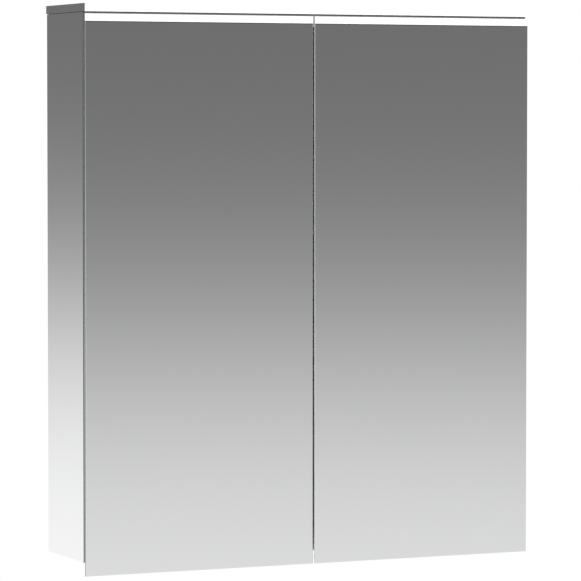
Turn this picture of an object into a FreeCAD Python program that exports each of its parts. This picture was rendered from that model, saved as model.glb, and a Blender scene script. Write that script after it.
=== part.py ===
"""Wall-hung mirror cabinet with two doors and a light slab, as a parametric FreeCAD document.

Row frame, in millimetres: +X to the user's right, +Y into the wall, +Z up.
The origin lies on the wall, midway between the two screw holes of the wall rail.
"""
import FreeCAD
import Part
import Sketcher
import math
import os
import re

doc = FreeCAD.newDocument("MirrorCabinet")
sheet = doc.addObject("Spreadsheet::Sheet", "Sizes")

# ---------------------------------------------------------------- driving dimensions
DRIVING = [
    ("overall_width", 600.0, "outside of the mirrored sides"),
    ("overall_depth", 136.0, "wall to the front of the doors"),
    ("overall_height", 692.0, "lower edge of the doors to the top of the slab"),
    ("fixing_below_top", 60.0, "screw line of the wall rail below the slab's top"),
    ("wall_gap", 3.0, "carcass stands off the wall; the slab closes the gap"),
    ("slab_height", 10.0, "light slab"),
    ("slab_groove", 0.6, "shadow groove between slab and carcass, filled by a set-back gasket"),
    ("slab_skin", 1.5, "wall of the slab's extrusion"),
    ("slab_back", 3.0, "rear wall of the slab's extrusion"),
    ("end_plate", 2.0, "polished plate on each end of the slab"),
    ("pane_thickness", 3.0, "front mirror of a door, and the slab's diffuser"),
    ("pane_arris", 0.8, "ground bevel around a door mirror"),
    ("stripe_height", 8.9, "satin light strip along the top of a door"),
    ("bond_thickness", 0.5, "adhesive sheet between the two mirrors of a door"),
    ("door_top_gap", 2.6, "slab to the doors"),
    ("door_middle_gap", 2.4, "between the two doors"),
    ("meeting_offset", 2.0, "the doors meet this far right of the middle"),
    ("door_overhang", 16.0, "front mirror below the carcass, as a finger grip"),
    ("door_gap", 1.2, "back of the doors to the carcass"),
    ("rear_inset", 6.0, "rear mirror back from the meeting edge"),
    ("stile_width", 11.0, "aluminium hinge stile"),
    ("stile_nose", 2.4, "rounded corner of the stile, concentric with the pivot"),
    ("stile_setback", 0.4, "stile behind the outer edge of the front mirror"),
    ("stile_play", 0.4, "lower pivot bracket to the stile above it"),
    ("pivot_radius", 1.5, "pivot pins"),
    ("pivot_clearance", 0.05, "radial running clearance of a pivot pin"),
    ("pivot_engagement", 12.0, "length of a pivot pin inside the stile"),
    ("tongue_radius", 1.9, "nose of the lower pivot bracket"),
    ("tongue_clearance", 0.2, "nose of the bracket to the front mirror"),
    ("bracket_thickness", 2.5, "lower pivot bracket"),
    ("side_skin", 3.0, "outer mirror on the carcass sides"),
    ("board", 15.0, "side, top and bottom boards"),
    ("cavity_depth", 18.0, "space behind the back panel"),
    ("back_thickness", 8.0, "back panel"),
    ("back_mirror_thickness", 3.0, "mirror inside the cabinet"),
    ("shelf_thickness", 5.0, "glass shelves"),
    ("shelf_setback", 6.0, "shelves behind the carcass front"),
    ("shelf_play", 2.0, "shelf to the sides and the inner mirror"),
    ("pin_radius", 2.5, "shelf pins"),
    ("pin_depth", 9.0, "shelf pin inside the board"),
    ("pin_reach", 10.0, "shelf pin under the shelf"),
    ("pin_pitch", 32.0, "pitch of the shelf holes"),
    ("channel_depth", 21.0, "light channel in front of the top board"),
    ("channel_skin", 1.5, "wall of the light channel"),
    ("channel_diffuser", 2.0, "diffuser behind the satin strips"),
    ("led_board", 1.6, "LED circuit boards"),
    ("rail_height", 40.0, "web of the wall rail and the cleat"),
    ("rail_gauge", 3.0, "wall rail and cleat thickness"),
    ("rail_end_gap", 40.0, "inside of the carcass to the end of the rail"),
    ("rail_offset", 8.0, "rail's hook stands this far off its web"),
    ("cleat_play", 1.4, "top of the cleat to the top board"),
    ("fixing_spacing", 400.0, "between the two wall screws"),
    ("fixing_radius", 3.25, "wall screw holes"),
    ("unit_width", 60.0, "socket and switch unit"),
    ("unit_height", 105.0, "socket and switch unit"),
    ("unit_depth", 42.0, "socket and switch unit, with its face plate"),
    ("unit_wall", 2.5, "wall of the unit's housing"),
    ("face_plate", 3.0, "face plate of the unit"),
    ("recess_radius", 19.5, "round plug recess of the socket"),
    ("recess_depth", 17.5, "round plug recess of the socket"),
    ("gland_bore", 4.5, "radius of the mains cable gland"),
    ("cable_notch", 24.0, "notch in the bottom board for the mains cable"),
]
for row, (alias, value, note) in enumerate(DRIVING, start=1):
    sheet.set("A%d" % row, note)
    sheet.set("B%d" % row, str(value))
    sheet.setAlias("B%d" % row, alias)
doc.recompute()

# ---------------------------------------------------------------- places worked out from them
DERIVED = {
    "half_width": "overall_width / 2",
    "slab_top": "fixing_below_top",
    "slab_bottom": "slab_top - slab_height",
    "carcass_top": "slab_bottom - slab_groove",
    "door_bottom": "fixing_below_top - overall_height",
    "carcass_bottom": "door_bottom + door_overhang",
    "door_top": "slab_bottom - door_top_gap",
    "pane_top": "door_top - stripe_height",
    "front": "-overall_depth",
    "pane_back": "front + pane_thickness",
    "pivot_y": "pane_back + tongue_clearance + tongue_radius",
    "door_back": "pivot_y + stile_nose",
    "carcass_front": "door_back + door_gap",
    "carcass_back": "-wall_gap",
    "carcass_depth": "carcass_back - carcass_front",
    "cavity_front": "carcass_back - cavity_depth",
    "inner_back": "cavity_front - back_thickness - back_mirror_thickness",
    "inner_half": "half_width - side_skin - board",
    "inner_bottom": "carcass_bottom + board",
    "inner_top": "carcass_top - board",
    "inner_height": "inner_top - inner_bottom",
    "left_door_width": "half_width - door_middle_gap / 2 + meeting_offset",
    "right_door_width": "half_width - door_middle_gap / 2 - meeting_offset",
    "pivot_inset": "stile_setback + stile_nose",
    "rear_loss": "stile_setback + stile_width + rear_inset",
    "left_rear_width": "left_door_width - rear_loss",
    "right_rear_width": "right_door_width - rear_loss",
    "rear_bottom": "carcass_bottom + 1",
    "top_board_front": "carcass_front + channel_depth",
    "unit_x": "inner_half - unit_width",
    "unit_bottom": "inner_bottom + 14",
    "unit_front": "inner_back - unit_depth",
    "socket_z": "unit_bottom + 31",
    "switch_z": "unit_bottom + 80",
    "unit_middle": "unit_x + unit_width / 2",
    "shelf_depth": "inner_back - shelf_play - carcass_front - shelf_setback",
    "rail_lip": "inner_top - rail_height / 2 - rail_gauge - cleat_play",
    "cleat_top": "rail_height / 2 + rail_lip + rail_gauge",
    "stile_bottom": "carcass_bottom + stile_play",
}


def expand(text):
    """Write out the names in an expression until only cells of the sheet are left."""
    def swap(match):
        word = match.group(0)
        if word in DERIVED:
            return "(" + expand(DERIVED[word]) + ")"
        return "Sizes." + word
    return re.sub(r"[a-z][a-z_]+", swap, str(text))


def number(text):
    """The present value of an expression, for starting positions and free shapes."""
    return float(sheet.evalExpression(expand(text)))


def bind(thing, name, text):
    thing.setExpression(name, expand(text))


# ---------------------------------------------------------------- how the pieces are made
def place(thing, x, y, z):
    for axis, text in zip("xyz", (x, y, z)):
        bind(thing, "Placement.Base." + axis, text)


def new_body(label, x, y, z):
    body = doc.addObject("PartDesign::Body", label)
    body.Label = label
    place(body, x, y, z)
    return body


def new_sketch(body, name, role, offset=None):
    sketch = body.newObject("Sketcher::SketchObject", body.Label + "_" + name)
    plane = [item for item in body.Origin.OriginFeatures if item.Role == role][0]
    sketch.AttachmentSupport = [(plane, "")]
    sketch.MapMode = "FlatFace"
    if offset:
        bind(sketch, "AttachmentOffset.Base.z", offset)
    return sketch


def pin_point(sketch, geometry, vertex, across, up):
    for text, kind, axis in ((across, "DistanceX", -2), (up, "DistanceY", -1)):
        if str(text) == "0":
            sketch.addConstraint(Sketcher.Constraint("PointOnObject", geometry, vertex, axis))
            continue
        held = Sketcher.Constraint(kind, -1, 1, geometry, vertex, number(text))
        bind(sketch, "Constraints[%d]" % sketch.addConstraint(held), text)


def add_outline(sketch, points):
    """A closed outline of straight lines through (across, up) expressions."""
    first = sketch.GeometryCount
    corners = [FreeCAD.Vector(number(across), number(up), 0) for across, up in points]
    for index, corner in enumerate(corners):
        following = corners[(index + 1) % len(corners)]
        sketch.addGeometry(Part.LineSegment(corner, following), False)
    for index, (across, up) in enumerate(points):
        before = first + (index - 1) % len(points)
        sketch.addConstraint(Sketcher.Constraint("Coincident", before, 2, first + index, 1))
        pin_point(sketch, first + index, 1, across, up)


def add_rectangle(sketch, across, up, width, height):
    far, high = "%s + %s" % (across, width), "%s + %s" % (up, height)
    if str(across) == "0":
        far = width
    if str(up) == "0":
        high = height
    add_outline(sketch, [(across, up), (far, up), (far, high), (across, high)])


def add_circle(sketch, across, up, radius):
    centre = FreeCAD.Vector(number(across), number(up), 0)
    axis = FreeCAD.Vector(0, 0, 1)
    index = sketch.addGeometry(Part.Circle(centre, axis, number(radius)), False)
    pin_point(sketch, index, 3, across, up)
    held = sketch.addConstraint(Sketcher.Constraint("Radius", index, number(radius)))
    bind(sketch, "Constraints[%d]" % held, radius)


def pad(body, sketch, length, against_normal=False):
    feature = body.newObject("PartDesign::Pad", sketch.Label + "_pad")
    feature.Profile = sketch
    bind(feature, "Length", length)
    feature.Reversed = against_normal
    sketch.Visibility = False
    return feature


def pocket(body, sketch, depth, along_normal):
    """Cut to a depth and make sure that something was cut."""
    doc.recompute()
    volume = body.Tip.Shape.Volume
    feature = body.newObject("PartDesign::Pocket", sketch.Label + "_pocket")
    feature.Profile = sketch
    bind(feature, "Length", depth)
    feature.Reversed = along_normal
    doc.recompute()
    if feature.Shape.Volume > volume - 0.01:
        raise RuntimeError("nothing was cut by " + feature.Label)
    return feature


def block(label, x, y, z, width, depth, height):
    """A rectangular piece, from its lowest corner, padded upwards."""
    body = new_body(label, x, y, z)
    sketch = new_sketch(body, "plan", "XY_Plane")
    add_rectangle(sketch, "0", "0", width, depth)
    pad(body, sketch, height)
    return body


def extrusion(label, x, y, z, outline, length):
    """A profile drawn in local Y and Z, and padded along X."""
    body = new_body(label, x, y, z)
    sketch = new_sketch(body, "profile", "YZ_Plane")
    add_outline(sketch, outline)
    pad(body, sketch, length)
    return body


def bevel(body, size, wanted):
    """Chamfer the edges of the last feature that the test picks by their two ends."""
    doc.recompute()
    base = body.Tip
    names = []
    for index, edge in enumerate(base.Shape.Edges, start=1):
        ends = [vertex.Point for vertex in edge.Vertexes]
        if len(ends) == 2 and all(wanted(point) for point in ends):
            names.append("Edge%d" % index)
    feature = body.newObject("PartDesign::Chamfer", body.Label + "_arris")
    feature.Base = (base, names)
    bind(feature, "Size", size)
    return feature


def cut_circles(body, name, role, centres, radius, depth, along_normal, offset=None):
    sketch = new_sketch(body, name, role, offset)
    for across, up in centres:
        add_circle(sketch, across, up, radius)
    return pocket(body, sketch, depth, along_normal)


def rod(name, radius, length, x, y, z, axis):
    """A loose cylinder that starts at x, y, z and runs along a row axis."""
    cylinder = doc.addObject("Part::Cylinder", name)
    bind(cylinder, "Radius", radius)
    bind(cylinder, "Height", length)
    turns = {"x": (FreeCAD.Vector(0, 1, 0), 90), "-x": (FreeCAD.Vector(0, 1, 0), -90),
             "y": (FreeCAD.Vector(1, 0, 0), -90), "-y": (FreeCAD.Vector(1, 0, 0), 90),
             "z": (FreeCAD.Vector(0, 0, 1), 0), "-z": (FreeCAD.Vector(1, 0, 0), 180)}
    cylinder.Placement.Rotation = FreeCAD.Rotation(*turns[axis])
    place(cylinder, x, y, z)
    return cylinder


def join(label, pieces, kind="Part::MultiFuse"):
    """Pieces of one part, or with Part::Compound a group of loose ones, under one label."""
    group = doc.addObject(kind, label)
    group.Label = label
    if kind == "Part::Compound":
        group.Links = pieces
    else:
        group.Shapes = pieces
    for piece in pieces:
        piece.Visibility = False
    return group


def cut(label, base, tool):
    result = doc.addObject("Part::Cut", label)
    result.Label = label
    result.Base = base
    result.Tool = tool
    return result


def outward(side, inset, width):
    """X of the low side of a piece that starts at an inset from the cabinet's outer face."""
    if side < 0:
        return "-half_width + (%s)" % inset
    return "half_width - (%s) - (%s)" % (inset, width)


def handed(side, text):
    """A local X that is measured inwards from the outer face."""
    return text if side < 0 else "-(%s)" % text


SIDES = (("left", -1), ("right", 1))
nodes = []

# ---------------------------------------------------------------- fixed sizes of bought-in pieces
SHELVES = (("lower", 1), ("middle", 2), ("upper", 3))
SHELF_SHARES = 4
SHELF_ARRIS = 0.8
HOLE_STEPS = (-1, 0, 1)
FRONT_PIN = "30"
BACK_PIN = "carcass_depth - 50"
PIN_FLANGE = 1.5
PIN_FLANGE_STEP = 2.0

SCREW_RADIUS = 2.5
SCREW_LENGTH = 50.0
SCREW_HEAD_RADIUS = 3.5
SCREW_HEAD = 3.0
SCREW_FROM_FRONT = "20"
SCREW_FROM_REAR = "20"
TOP_SCREW_BEHIND_CHANNEL = "22"
SHORT_SCREW_RADIUS = 1.75
SHORT_SCREW_LENGTH = 9.0
SHORT_SCREW_HEAD = 3.4
SHORT_SCREW_HEAD_HEIGHT = 1.8
SLAB_SCREW_RADIUS = 2.0
SLAB_SCREW_HEAD_STEP = 2.0
SLAB_SCREW_HEAD_HEIGHT = 2.4
SLAB_SCREW_TIP = 1.0
SLAB_SCREW_INSET = "60"
SLAB_SCREW_ROWS = ("30", "carcass_depth - channel_depth - 37")

LEAD_RADIUS = 2.0
LEAD_HOLE_RADIUS = 3.5
LEAD_COLUMN = "10"
LEAD_COLUMN_FROM_WALL = 9
SOCKET_LEAD_HEIGHT = "unit_bottom - inner_bottom + 60"

MAGNETS = ("-40", "40")
MAGNET_RADIUS = 4.0
MAGNET_LENGTH = 10.0
STRIKE = (14.0, 0.6, 22.0)
STRIKE_RISE = 5
BUFFERS = ("-14", "14", "-230", "230")
BUFFER_RADIUS = 3.5
BUFFER_PLAY = 0.2
WALL_PAD_RADIUS = 6.5
WALL_PAD_RISE = 40

BRACKET_SCREWS = (("26", "12"), ("26", "36"))
TONGUE_SLOPE = 50.0
END_BLOCK = 8.0

CLEAT_SCREWS = ("-200", "-70", "70", "200")
CLEAT_SCREW_LEVEL = "-6"
CLEAT_SCREW_BITE = 5.5
CLEAT_LOW = "-16"
CLEAT_LIP_PLAY = 0.5
CLEAT_LIP_SHORT = 2

CHIP = (3.5, 0.8, 2.8)
CHIP_COUNT = 30
LED_BOARD_INSET = 12
SLAB_BOARD_BEHIND_PANE = 24.0
SLAB_BOARD_PLAY = 0.2
CHANNEL_BOARD_PLAY = 1
GASKET_WIDTH = 5.0
GASKET_INSET = 1.5

DRIVER = (150.0, 15.0, 42.0)
DRIVER_X = -190.0
DRIVER_DROP = 120.0
BOX = (84.0, 15.0, 40.0)
BOX_X = 110.0
BOX_RISE = 30
CASE_ARRIS = 1.5
GLAND_LENGTH = 14.0
GLAND_WALL = 2

ROCKER = (18.0, 26.0)
ROCKER_PLAY = 1.25
ROCKER_TILT = 8.0
ROCKER_SIDE_PLAY = 0.6
ROCKER_PIN = 1.5
ROCKER_PIN_PLAY = 0.05
ROCKER_APEX = 1.5
ROCKER_REAR = 3.0
ROCKER_TAPER = 1
PIVOT_BEHIND_FRONT = 5.5
LUG = 4.0
LUG_HEIGHT = 8
LUG_DEPTH = 5.0
PLATE_ARRIS = 1.2
CONTACT_SPREAD = 9.5
CONTACT_RADIUS = 2.5
CONTACT_WALL = 1
CONTACT_LENGTH = 9.0
CUP_WALL = 2.0
CUP_FLOOR = 4.0
EDGE = 0.01


# ---------------------------------------------------------------- carcass


def shelf_floor(count):
    """Underside of a shelf: the shelves share the inside height evenly."""
    return "inner_bottom + inner_height * %d / %d" % (count, SHELF_SHARES)


def carcass_screw_places():
    """Y and Z of the screws through a side board, in its own frame."""
    low, high = "board / 2", "carcass_top - carcass_bottom - board / 2"
    rear = "carcass_depth - " + SCREW_FROM_REAR
    middle = "channel_depth + " + TOP_SCREW_BEHIND_CHANNEL
    return [(SCREW_FROM_FRONT, low), (rear, low), (middle, high), (rear, high)]


def side_panels():
    for name, side in SIDES:
        label = name + "_side_panel"
        height = "carcass_top - carcass_bottom"
        body = block(label, outward(side, "side_skin", "board"), "carcass_front",
                     "carcass_bottom", "board", "carcass_depth", height)
        screws = carcass_screw_places()
        cut_circles(body, "screw_bores", "YZ_Plane", screws, SCREW_RADIUS, "board", True)
        seat = "0" if side < 0 else "board"
        cut_circles(body, "screw_seats", "YZ_Plane", screws, SCREW_HEAD_RADIUS, SCREW_HEAD,
                    side < 0, None if seat == "0" else seat)
        holes = []
        for _, count in SHELVES:
            for step in HOLE_STEPS:
                level = "%s - carcass_bottom - pin_radius + pin_pitch * %d" % (
                    shelf_floor(count), step)
                holes += [(FRONT_PIN, level), (BACK_PIN, level)]
        face = "board" if side < 0 else None
        cut_circles(body, "shelf_holes", "YZ_Plane", holes, "pin_radius", "pin_depth",
                    side > 0, face)
        nodes.append(body)
        skin = block(name + "_side_mirror", outward(side, "0", "side_skin"), "carcass_front",
                     "carcass_bottom", "side_skin", "carcass_depth", height)
        nodes.append(skin)


def top_and_bottom():
    screw_bore = "%s - board" % SCREW_LENGTH
    bottom = block("bottom_panel", "-inner_half", "carcass_front", "carcass_bottom",
                   "2 * inner_half", "carcass_depth", "board")
    top = block("top_panel", "-inner_half", "top_board_front", "inner_top",
                "2 * inner_half", "carcass_depth - channel_depth", "board")
    rear = "carcass_depth - " + SCREW_FROM_REAR
    for body, forward in ((bottom, (SCREW_FROM_FRONT, rear)),
                          (top, (TOP_SCREW_BEHIND_CHANNEL, rear + " - channel_depth"))):
        ends = [(place_y, "board / 2") for place_y in forward]
        cut_circles(body, "left_bores", "YZ_Plane", ends, SCREW_RADIUS, screw_bore, True)
        cut_circles(body, "right_bores", "YZ_Plane", ends, SCREW_RADIUS, screw_bore, False,
                    "2 * inner_half")
    magnets = [("inner_half + (%s)" % x, "board / 2") for x in MAGNETS]
    cut_circles(bottom, "magnet_bores", "XZ_Plane", magnets, MAGNET_RADIUS, MAGNET_LENGTH, False)
    for name, side in SIDES:
        holes = [(x_from_corner(side, x), y) for x, y in BRACKET_SCREWS]
        cut_circles(bottom, name + "_bracket_bores", "XY_Plane", holes, SHORT_SCREW_RADIUS,
                    SHORT_SCREW_LENGTH, True)
    notch = new_sketch(bottom, "cable_notch", "XY_Plane")
    add_rectangle(notch, "inner_half + %s - cable_notch / 2" % (BOX_X + BOX[0] / 2),
                  "carcass_depth - cavity_depth", "cable_notch", "cavity_depth")
    pocket(bottom, notch, "board", True)
    lead = [(LEAD_COLUMN, "carcass_depth - channel_depth - %s" % LEAD_COLUMN_FROM_WALL)]
    cut_circles(top, "lead_bore", "XY_Plane", lead, LEAD_HOLE_RADIUS, "board", True)
    columns = (SLAB_SCREW_INSET, "2 * inner_half - " + SLAB_SCREW_INSET)
    slab_holes = [(x, y) for x in columns for y in SLAB_SCREW_ROWS]
    cut_circles(top, "slab_screw_bores", "XY_Plane", slab_holes, SLAB_SCREW_RADIUS, "board", True)
    nodes.extend([bottom, top])


def x_from_corner(side, inset):
    """Local X on the bottom board of a place that is measured from the cabinet's outer face."""
    shift = "(%s) - side_skin - board" % inset
    return shift if side < 0 else "2 * inner_half - (%s)" % shift


def carcass_screws():
    """Headed screws that hold the side boards to the top and bottom boards."""
    pieces = []
    for name, side in SIDES:
        for index, (y, z) in enumerate(carcass_screw_places()):
            y, z = "carcass_front + " + y, "carcass_bottom + " + z
            inwards = "x" if side < 0 else "-x"
            start = "-half_width + side_skin" if side < 0 else "half_width - side_skin"
            label = "%s_screw_%d" % (name, index)
            shank = rod(label + "_shank", SCREW_RADIUS, SCREW_LENGTH, start, y, z, inwards)
            head = rod(label + "_head", SCREW_HEAD_RADIUS, SCREW_HEAD, start, y, z, inwards)
            pieces.append(join(label, [shank, head]))
    nodes.append(join("carcass_screws", pieces, "Part::Compound"))


def back():
    board = block("back_panel", "-inner_half", "cavity_front - back_thickness", "inner_bottom",
                  "2 * inner_half", "back_thickness", "inner_height")
    mirror = block("back_mirror", "-inner_half", "inner_back", "inner_bottom",
                   "2 * inner_half", "back_mirror_thickness", "inner_height")
    hole = [("2 * inner_half - unit_width / 2", SOCKET_LEAD_HEIGHT)]
    cut_circles(board, "lead_hole", "XZ_Plane", hole, LEAD_HOLE_RADIUS, "back_thickness", False)
    cut_circles(mirror, "lead_hole", "XZ_Plane", hole, LEAD_HOLE_RADIUS,
                "back_mirror_thickness", False)
    screws = [("inner_half + (%s)" % x, "%s - inner_bottom" % CLEAT_SCREW_LEVEL)
              for x in CLEAT_SCREWS]
    cut_circles(board, "cleat_bores", "XZ_Plane", screws, SHORT_SCREW_RADIUS,
                CLEAT_SCREW_BITE + 0.5, True, "-back_thickness")
    nodes.extend([board, mirror])


def shelves():
    pins = []
    for name, count in SHELVES:
        level = shelf_floor(count)
        shelf = block("glass_shelf_" + name, "-inner_half + shelf_play",
                      "carcass_front + shelf_setback", level,
                      "2 * (inner_half - shelf_play)", "shelf_depth", "shelf_thickness")
        bevel(shelf, SHELF_ARRIS, lambda point: point.y < EDGE)
        nodes.append(shelf)
        for side_name, side in SIDES:
            for row, forward in (("front", FRONT_PIN), ("back", BACK_PIN)):
                label = "pin_%s_%s_%s" % (name, side_name, row)
                y = "carcass_front + " + forward
                z = level + " - pin_radius"
                start = ("-inner_half - pin_depth" if side < 0 else "inner_half + pin_depth")
                collar = "-inner_half" if side < 0 else "inner_half"
                inwards = "x" if side < 0 else "-x"
                shank = rod(label + "_shank", "pin_radius", "pin_depth + pin_reach",
                            start, y, z, inwards)
                flange = rod(label + "_flange", "pin_radius + %s" % PIN_FLANGE_STEP, PIN_FLANGE,
                             collar, y, z, inwards)
                pins.append(join(label, [shank, flange]))
    nodes.append(join("shelf_pins", pins, "Part::Compound"))


# ---------------------------------------------------------------- slab with its light
def slab():
    depth = "overall_depth - pane_thickness"
    skin, high = "slab_skin", "slab_height"
    back = depth + " - slab_back"
    outline = [("0", "0"), (depth, "0"), (depth, high), ("0", high), ("0", high + " - slab_skin"),
               (back, high + " - slab_skin"), (back, skin), ("0", skin)]
    housing = extrusion("slab_housing", "-half_width + end_plate", "pane_back", "slab_bottom",
                        outline, "overall_width - 2 * end_plate")
    notch = new_sketch(housing, "end_notches", "XY_Plane")
    width = "%s - end_plate" % END_BLOCK
    inner = "overall_width - 2 * end_plate"
    add_rectangle(notch, "0", "0", width, "carcass_front - pane_back")
    add_outline(notch, [(inner + " - (%s)" % width, "0"), (inner, "0"),
                        (inner, "carcass_front - pane_back"),
                        (inner + " - (%s)" % width, "carcass_front - pane_back")])
    pocket(housing, notch, high, True)
    shift = "half_width - end_plate - inner_half"
    lead = [(shift + " + " + LEAD_COLUMN, depth + " - wall_gap - %s" % LEAD_COLUMN_FROM_WALL)]
    cut_circles(housing, "lead_hole", "XY_Plane", lead, LEAD_HOLE_RADIUS, "slab_skin", True)
    rows = ["top_board_front - pane_back + " + y for y in SLAB_SCREW_ROWS]
    columns = (SLAB_SCREW_INSET, "2 * inner_half - " + SLAB_SCREW_INSET)
    screws = [(shift + " + " + x, y) for x in columns for y in rows]
    cut_circles(housing, "screw_holes", "XY_Plane", screws, SLAB_SCREW_RADIUS, "slab_skin", True)
    nodes.append(housing)
    for name, side in SIDES:
        plate = block("slab_end_plate_" + name, outward(side, "0", "end_plate"), "carcass_front",
                      "slab_bottom", "end_plate", "-carcass_front", high)
        nodes.append(plate)
    diffuser = block("slab_diffuser", "-half_width", "front", "slab_bottom",
                     "overall_width", "pane_thickness", high)
    nodes.append(diffuser)
    board = block("slab_led_board", "-half_width + %s" % LED_BOARD_INSET,
                  "pane_back + %s" % SLAB_BOARD_BEHIND_PANE,
                  "slab_bottom + slab_skin + %s" % SLAB_BOARD_PLAY,
                  "overall_width - 2 * %s" % LED_BOARD_INSET, "led_board",
                  "slab_height - 2 * slab_skin - 2 * %s" % SLAB_BOARD_PLAY)
    nodes.append(board)


def slab_gasket():
    """A thin frame of foam between the slab and the carcass, a little back from the sides."""
    wide = "overall_width - 2 * %s" % GASKET_INSET
    deep = "carcass_depth - 2 * %s" % GASKET_INSET
    body = new_body("slab_gasket", "-half_width + %s" % GASKET_INSET,
                    "carcass_front + %s" % GASKET_INSET, "carcass_top")
    sketch = new_sketch(body, "frame", "XY_Plane")
    add_rectangle(sketch, "0", "0", wide, deep)
    add_rectangle(sketch, GASKET_WIDTH, GASKET_WIDTH, wide + " - 2 * %s" % GASKET_WIDTH,
                  deep + " - 2 * %s" % GASKET_WIDTH)
    pad(body, sketch, "slab_groove")
    nodes.append(body)


def slab_screws():
    pieces = []
    columns = ("-inner_half + " + SLAB_SCREW_INSET, "inner_half - " + SLAB_SCREW_INSET)
    length = "board + slab_groove + slab_skin + %s" % SLAB_SCREW_TIP
    for index, (x, row) in enumerate([(x, y) for x in columns for y in SLAB_SCREW_ROWS]):
        y = "top_board_front + " + row
        label = "slab_screw_%d" % index
        shank = rod(label + "_shank", SLAB_SCREW_RADIUS, length, x, y, "inner_top", "z")
        head = rod(label + "_head", SLAB_SCREW_RADIUS + SLAB_SCREW_HEAD_STEP,
                   SLAB_SCREW_HEAD_HEIGHT, x, y, "inner_top", "-z")
        pieces.append(join(label, [shank, head]))
    nodes.append(join("slab_screws", pieces, "Part::Compound"))


def light_channel():
    """A channel in front of the top board that lights the satin strips of the doors."""
    skin, high, deep = "channel_skin", "board", "channel_depth"
    face = "channel_diffuser"
    inner = "channel_depth - channel_skin"
    outline = [(face, "0"), (deep, "0"), (deep, high), ("0", high), ("0", high + " - " + skin),
               (inner, high + " - " + skin), (inner, skin), (face, skin)]
    body = extrusion("light_channel", "-inner_half", "carcass_front", "inner_top", outline,
                     "2 * inner_half")
    nodes.append(body)
    diffuser = block("channel_diffuser", "-inner_half", "carcass_front", "inner_top",
                     "2 * inner_half", face, high + " - " + skin)
    nodes.append(diffuser)
    play = " channel_skin + %s" % CHANNEL_BOARD_PLAY
    board = block("channel_led_board", "-inner_half + %s" % LED_BOARD_INSET,
                  "top_board_front - channel_skin - led_board", "inner_top +" + play,
                  "2 * inner_half - 2 * %s" % LED_BOARD_INSET, "led_board",
                  "board - 2 * (%s)" % play)
    nodes.append(board)


def led_chips():
    """Evenly spaced light-emitting chips on the front of both boards."""
    rows = (("slab", "pane_back + %s" % SLAB_BOARD_BEHIND_PANE, "slab_bottom + slab_height / 2"),
            ("channel", "top_board_front - channel_skin - led_board", "inner_top + board / 2"))
    pieces = []
    for name, board_front, level in rows:
        for index in range(CHIP_COUNT):
            chip = doc.addObject("Part::Box", "%s_chip_%d" % (name, index))
            for side, value in zip(("Length", "Width", "Height"), CHIP):
                bind(chip, side, value)
            share = (index + 0.5) / CHIP_COUNT
            x = "(2 * inner_half - 2 * %s) * %.5f - inner_half + %s - %s" % (
                LED_BOARD_INSET, share, LED_BOARD_INSET, CHIP[0] / 2)
            place(chip, x, board_front + " - %s" % CHIP[1], level + " - %s" % (CHIP[2] / 2))
            pieces.append(chip)
    nodes.append(join("led_chips", pieces, "Part::Compound"))


# ---------------------------------------------------------------- doors
def doors():
    for name, side in SIDES:
        width, rear_width = name + "_door_width", name + "_rear_width"
        pane = block(name + "_door_mirror", outward(side, "0", width), "front", "door_bottom",
                     width, "pane_thickness", "pane_top - door_bottom")
        bevel(pane, "pane_arris", lambda point: point.y < EDGE)
        nodes.append(pane)
        nodes.append(light_strip(name, side))
        start = "stile_setback + stile_width"
        rear_height = "pane_top - rear_bottom"
        rear = block(name + "_door_rear_mirror", outward(side, start, rear_width),
                     "pane_back + bond_thickness", "rear_bottom", rear_width,
                     "door_back - pane_back - bond_thickness", rear_height)
        nodes.append(rear)
        bond = block(name + "_door_bond", outward(side, start, rear_width), "pane_back",
                     "rear_bottom", rear_width, "bond_thickness", rear_height)
        nodes.append(bond)
        nodes.append(hinge_stile(name, side))
        magnet = MAGNETS[0] if side < 0 else MAGNETS[1]
        strike = block(name + "_door_strike", "%s - %s" % (magnet, STRIKE[0] / 2), "door_back",
                       "carcass_bottom + board / 2 - %s / 2 + %s" % (STRIKE[2], STRIKE_RISE),
                       STRIKE[0], STRIKE[1], STRIKE[2])
        nodes.append(strike)


def light_strip(name, side):
    """Satin strip over the mirror; it runs the door's depth, with a notch for the stile."""
    width, deep = name + "_door_width", "door_back - front"
    notch, lip = "stile_setback + stile_width", "pane_thickness"
    body = new_body(name + "_door_light_strip", outward(side, "0", width), "front", "pane_top")
    sketch = new_sketch(body, "plan", "XY_Plane")
    far = width + " - rear_inset"
    if side < 0:
        points = [("0", "0"), (width, "0"), (width, lip), (far, lip), (far, deep), (notch, deep),
                  (notch, lip), ("0", lip)]
    else:
        points = [("0", "0"), (width, "0"), (width, lip), (width + " - (%s)" % notch, lip),
                  (width + " - (%s)" % notch, deep), ("rear_inset", deep), ("rear_inset", lip),
                  ("0", lip)]
    add_outline(sketch, points)
    pad(body, sketch, "stripe_height")
    return body


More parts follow.
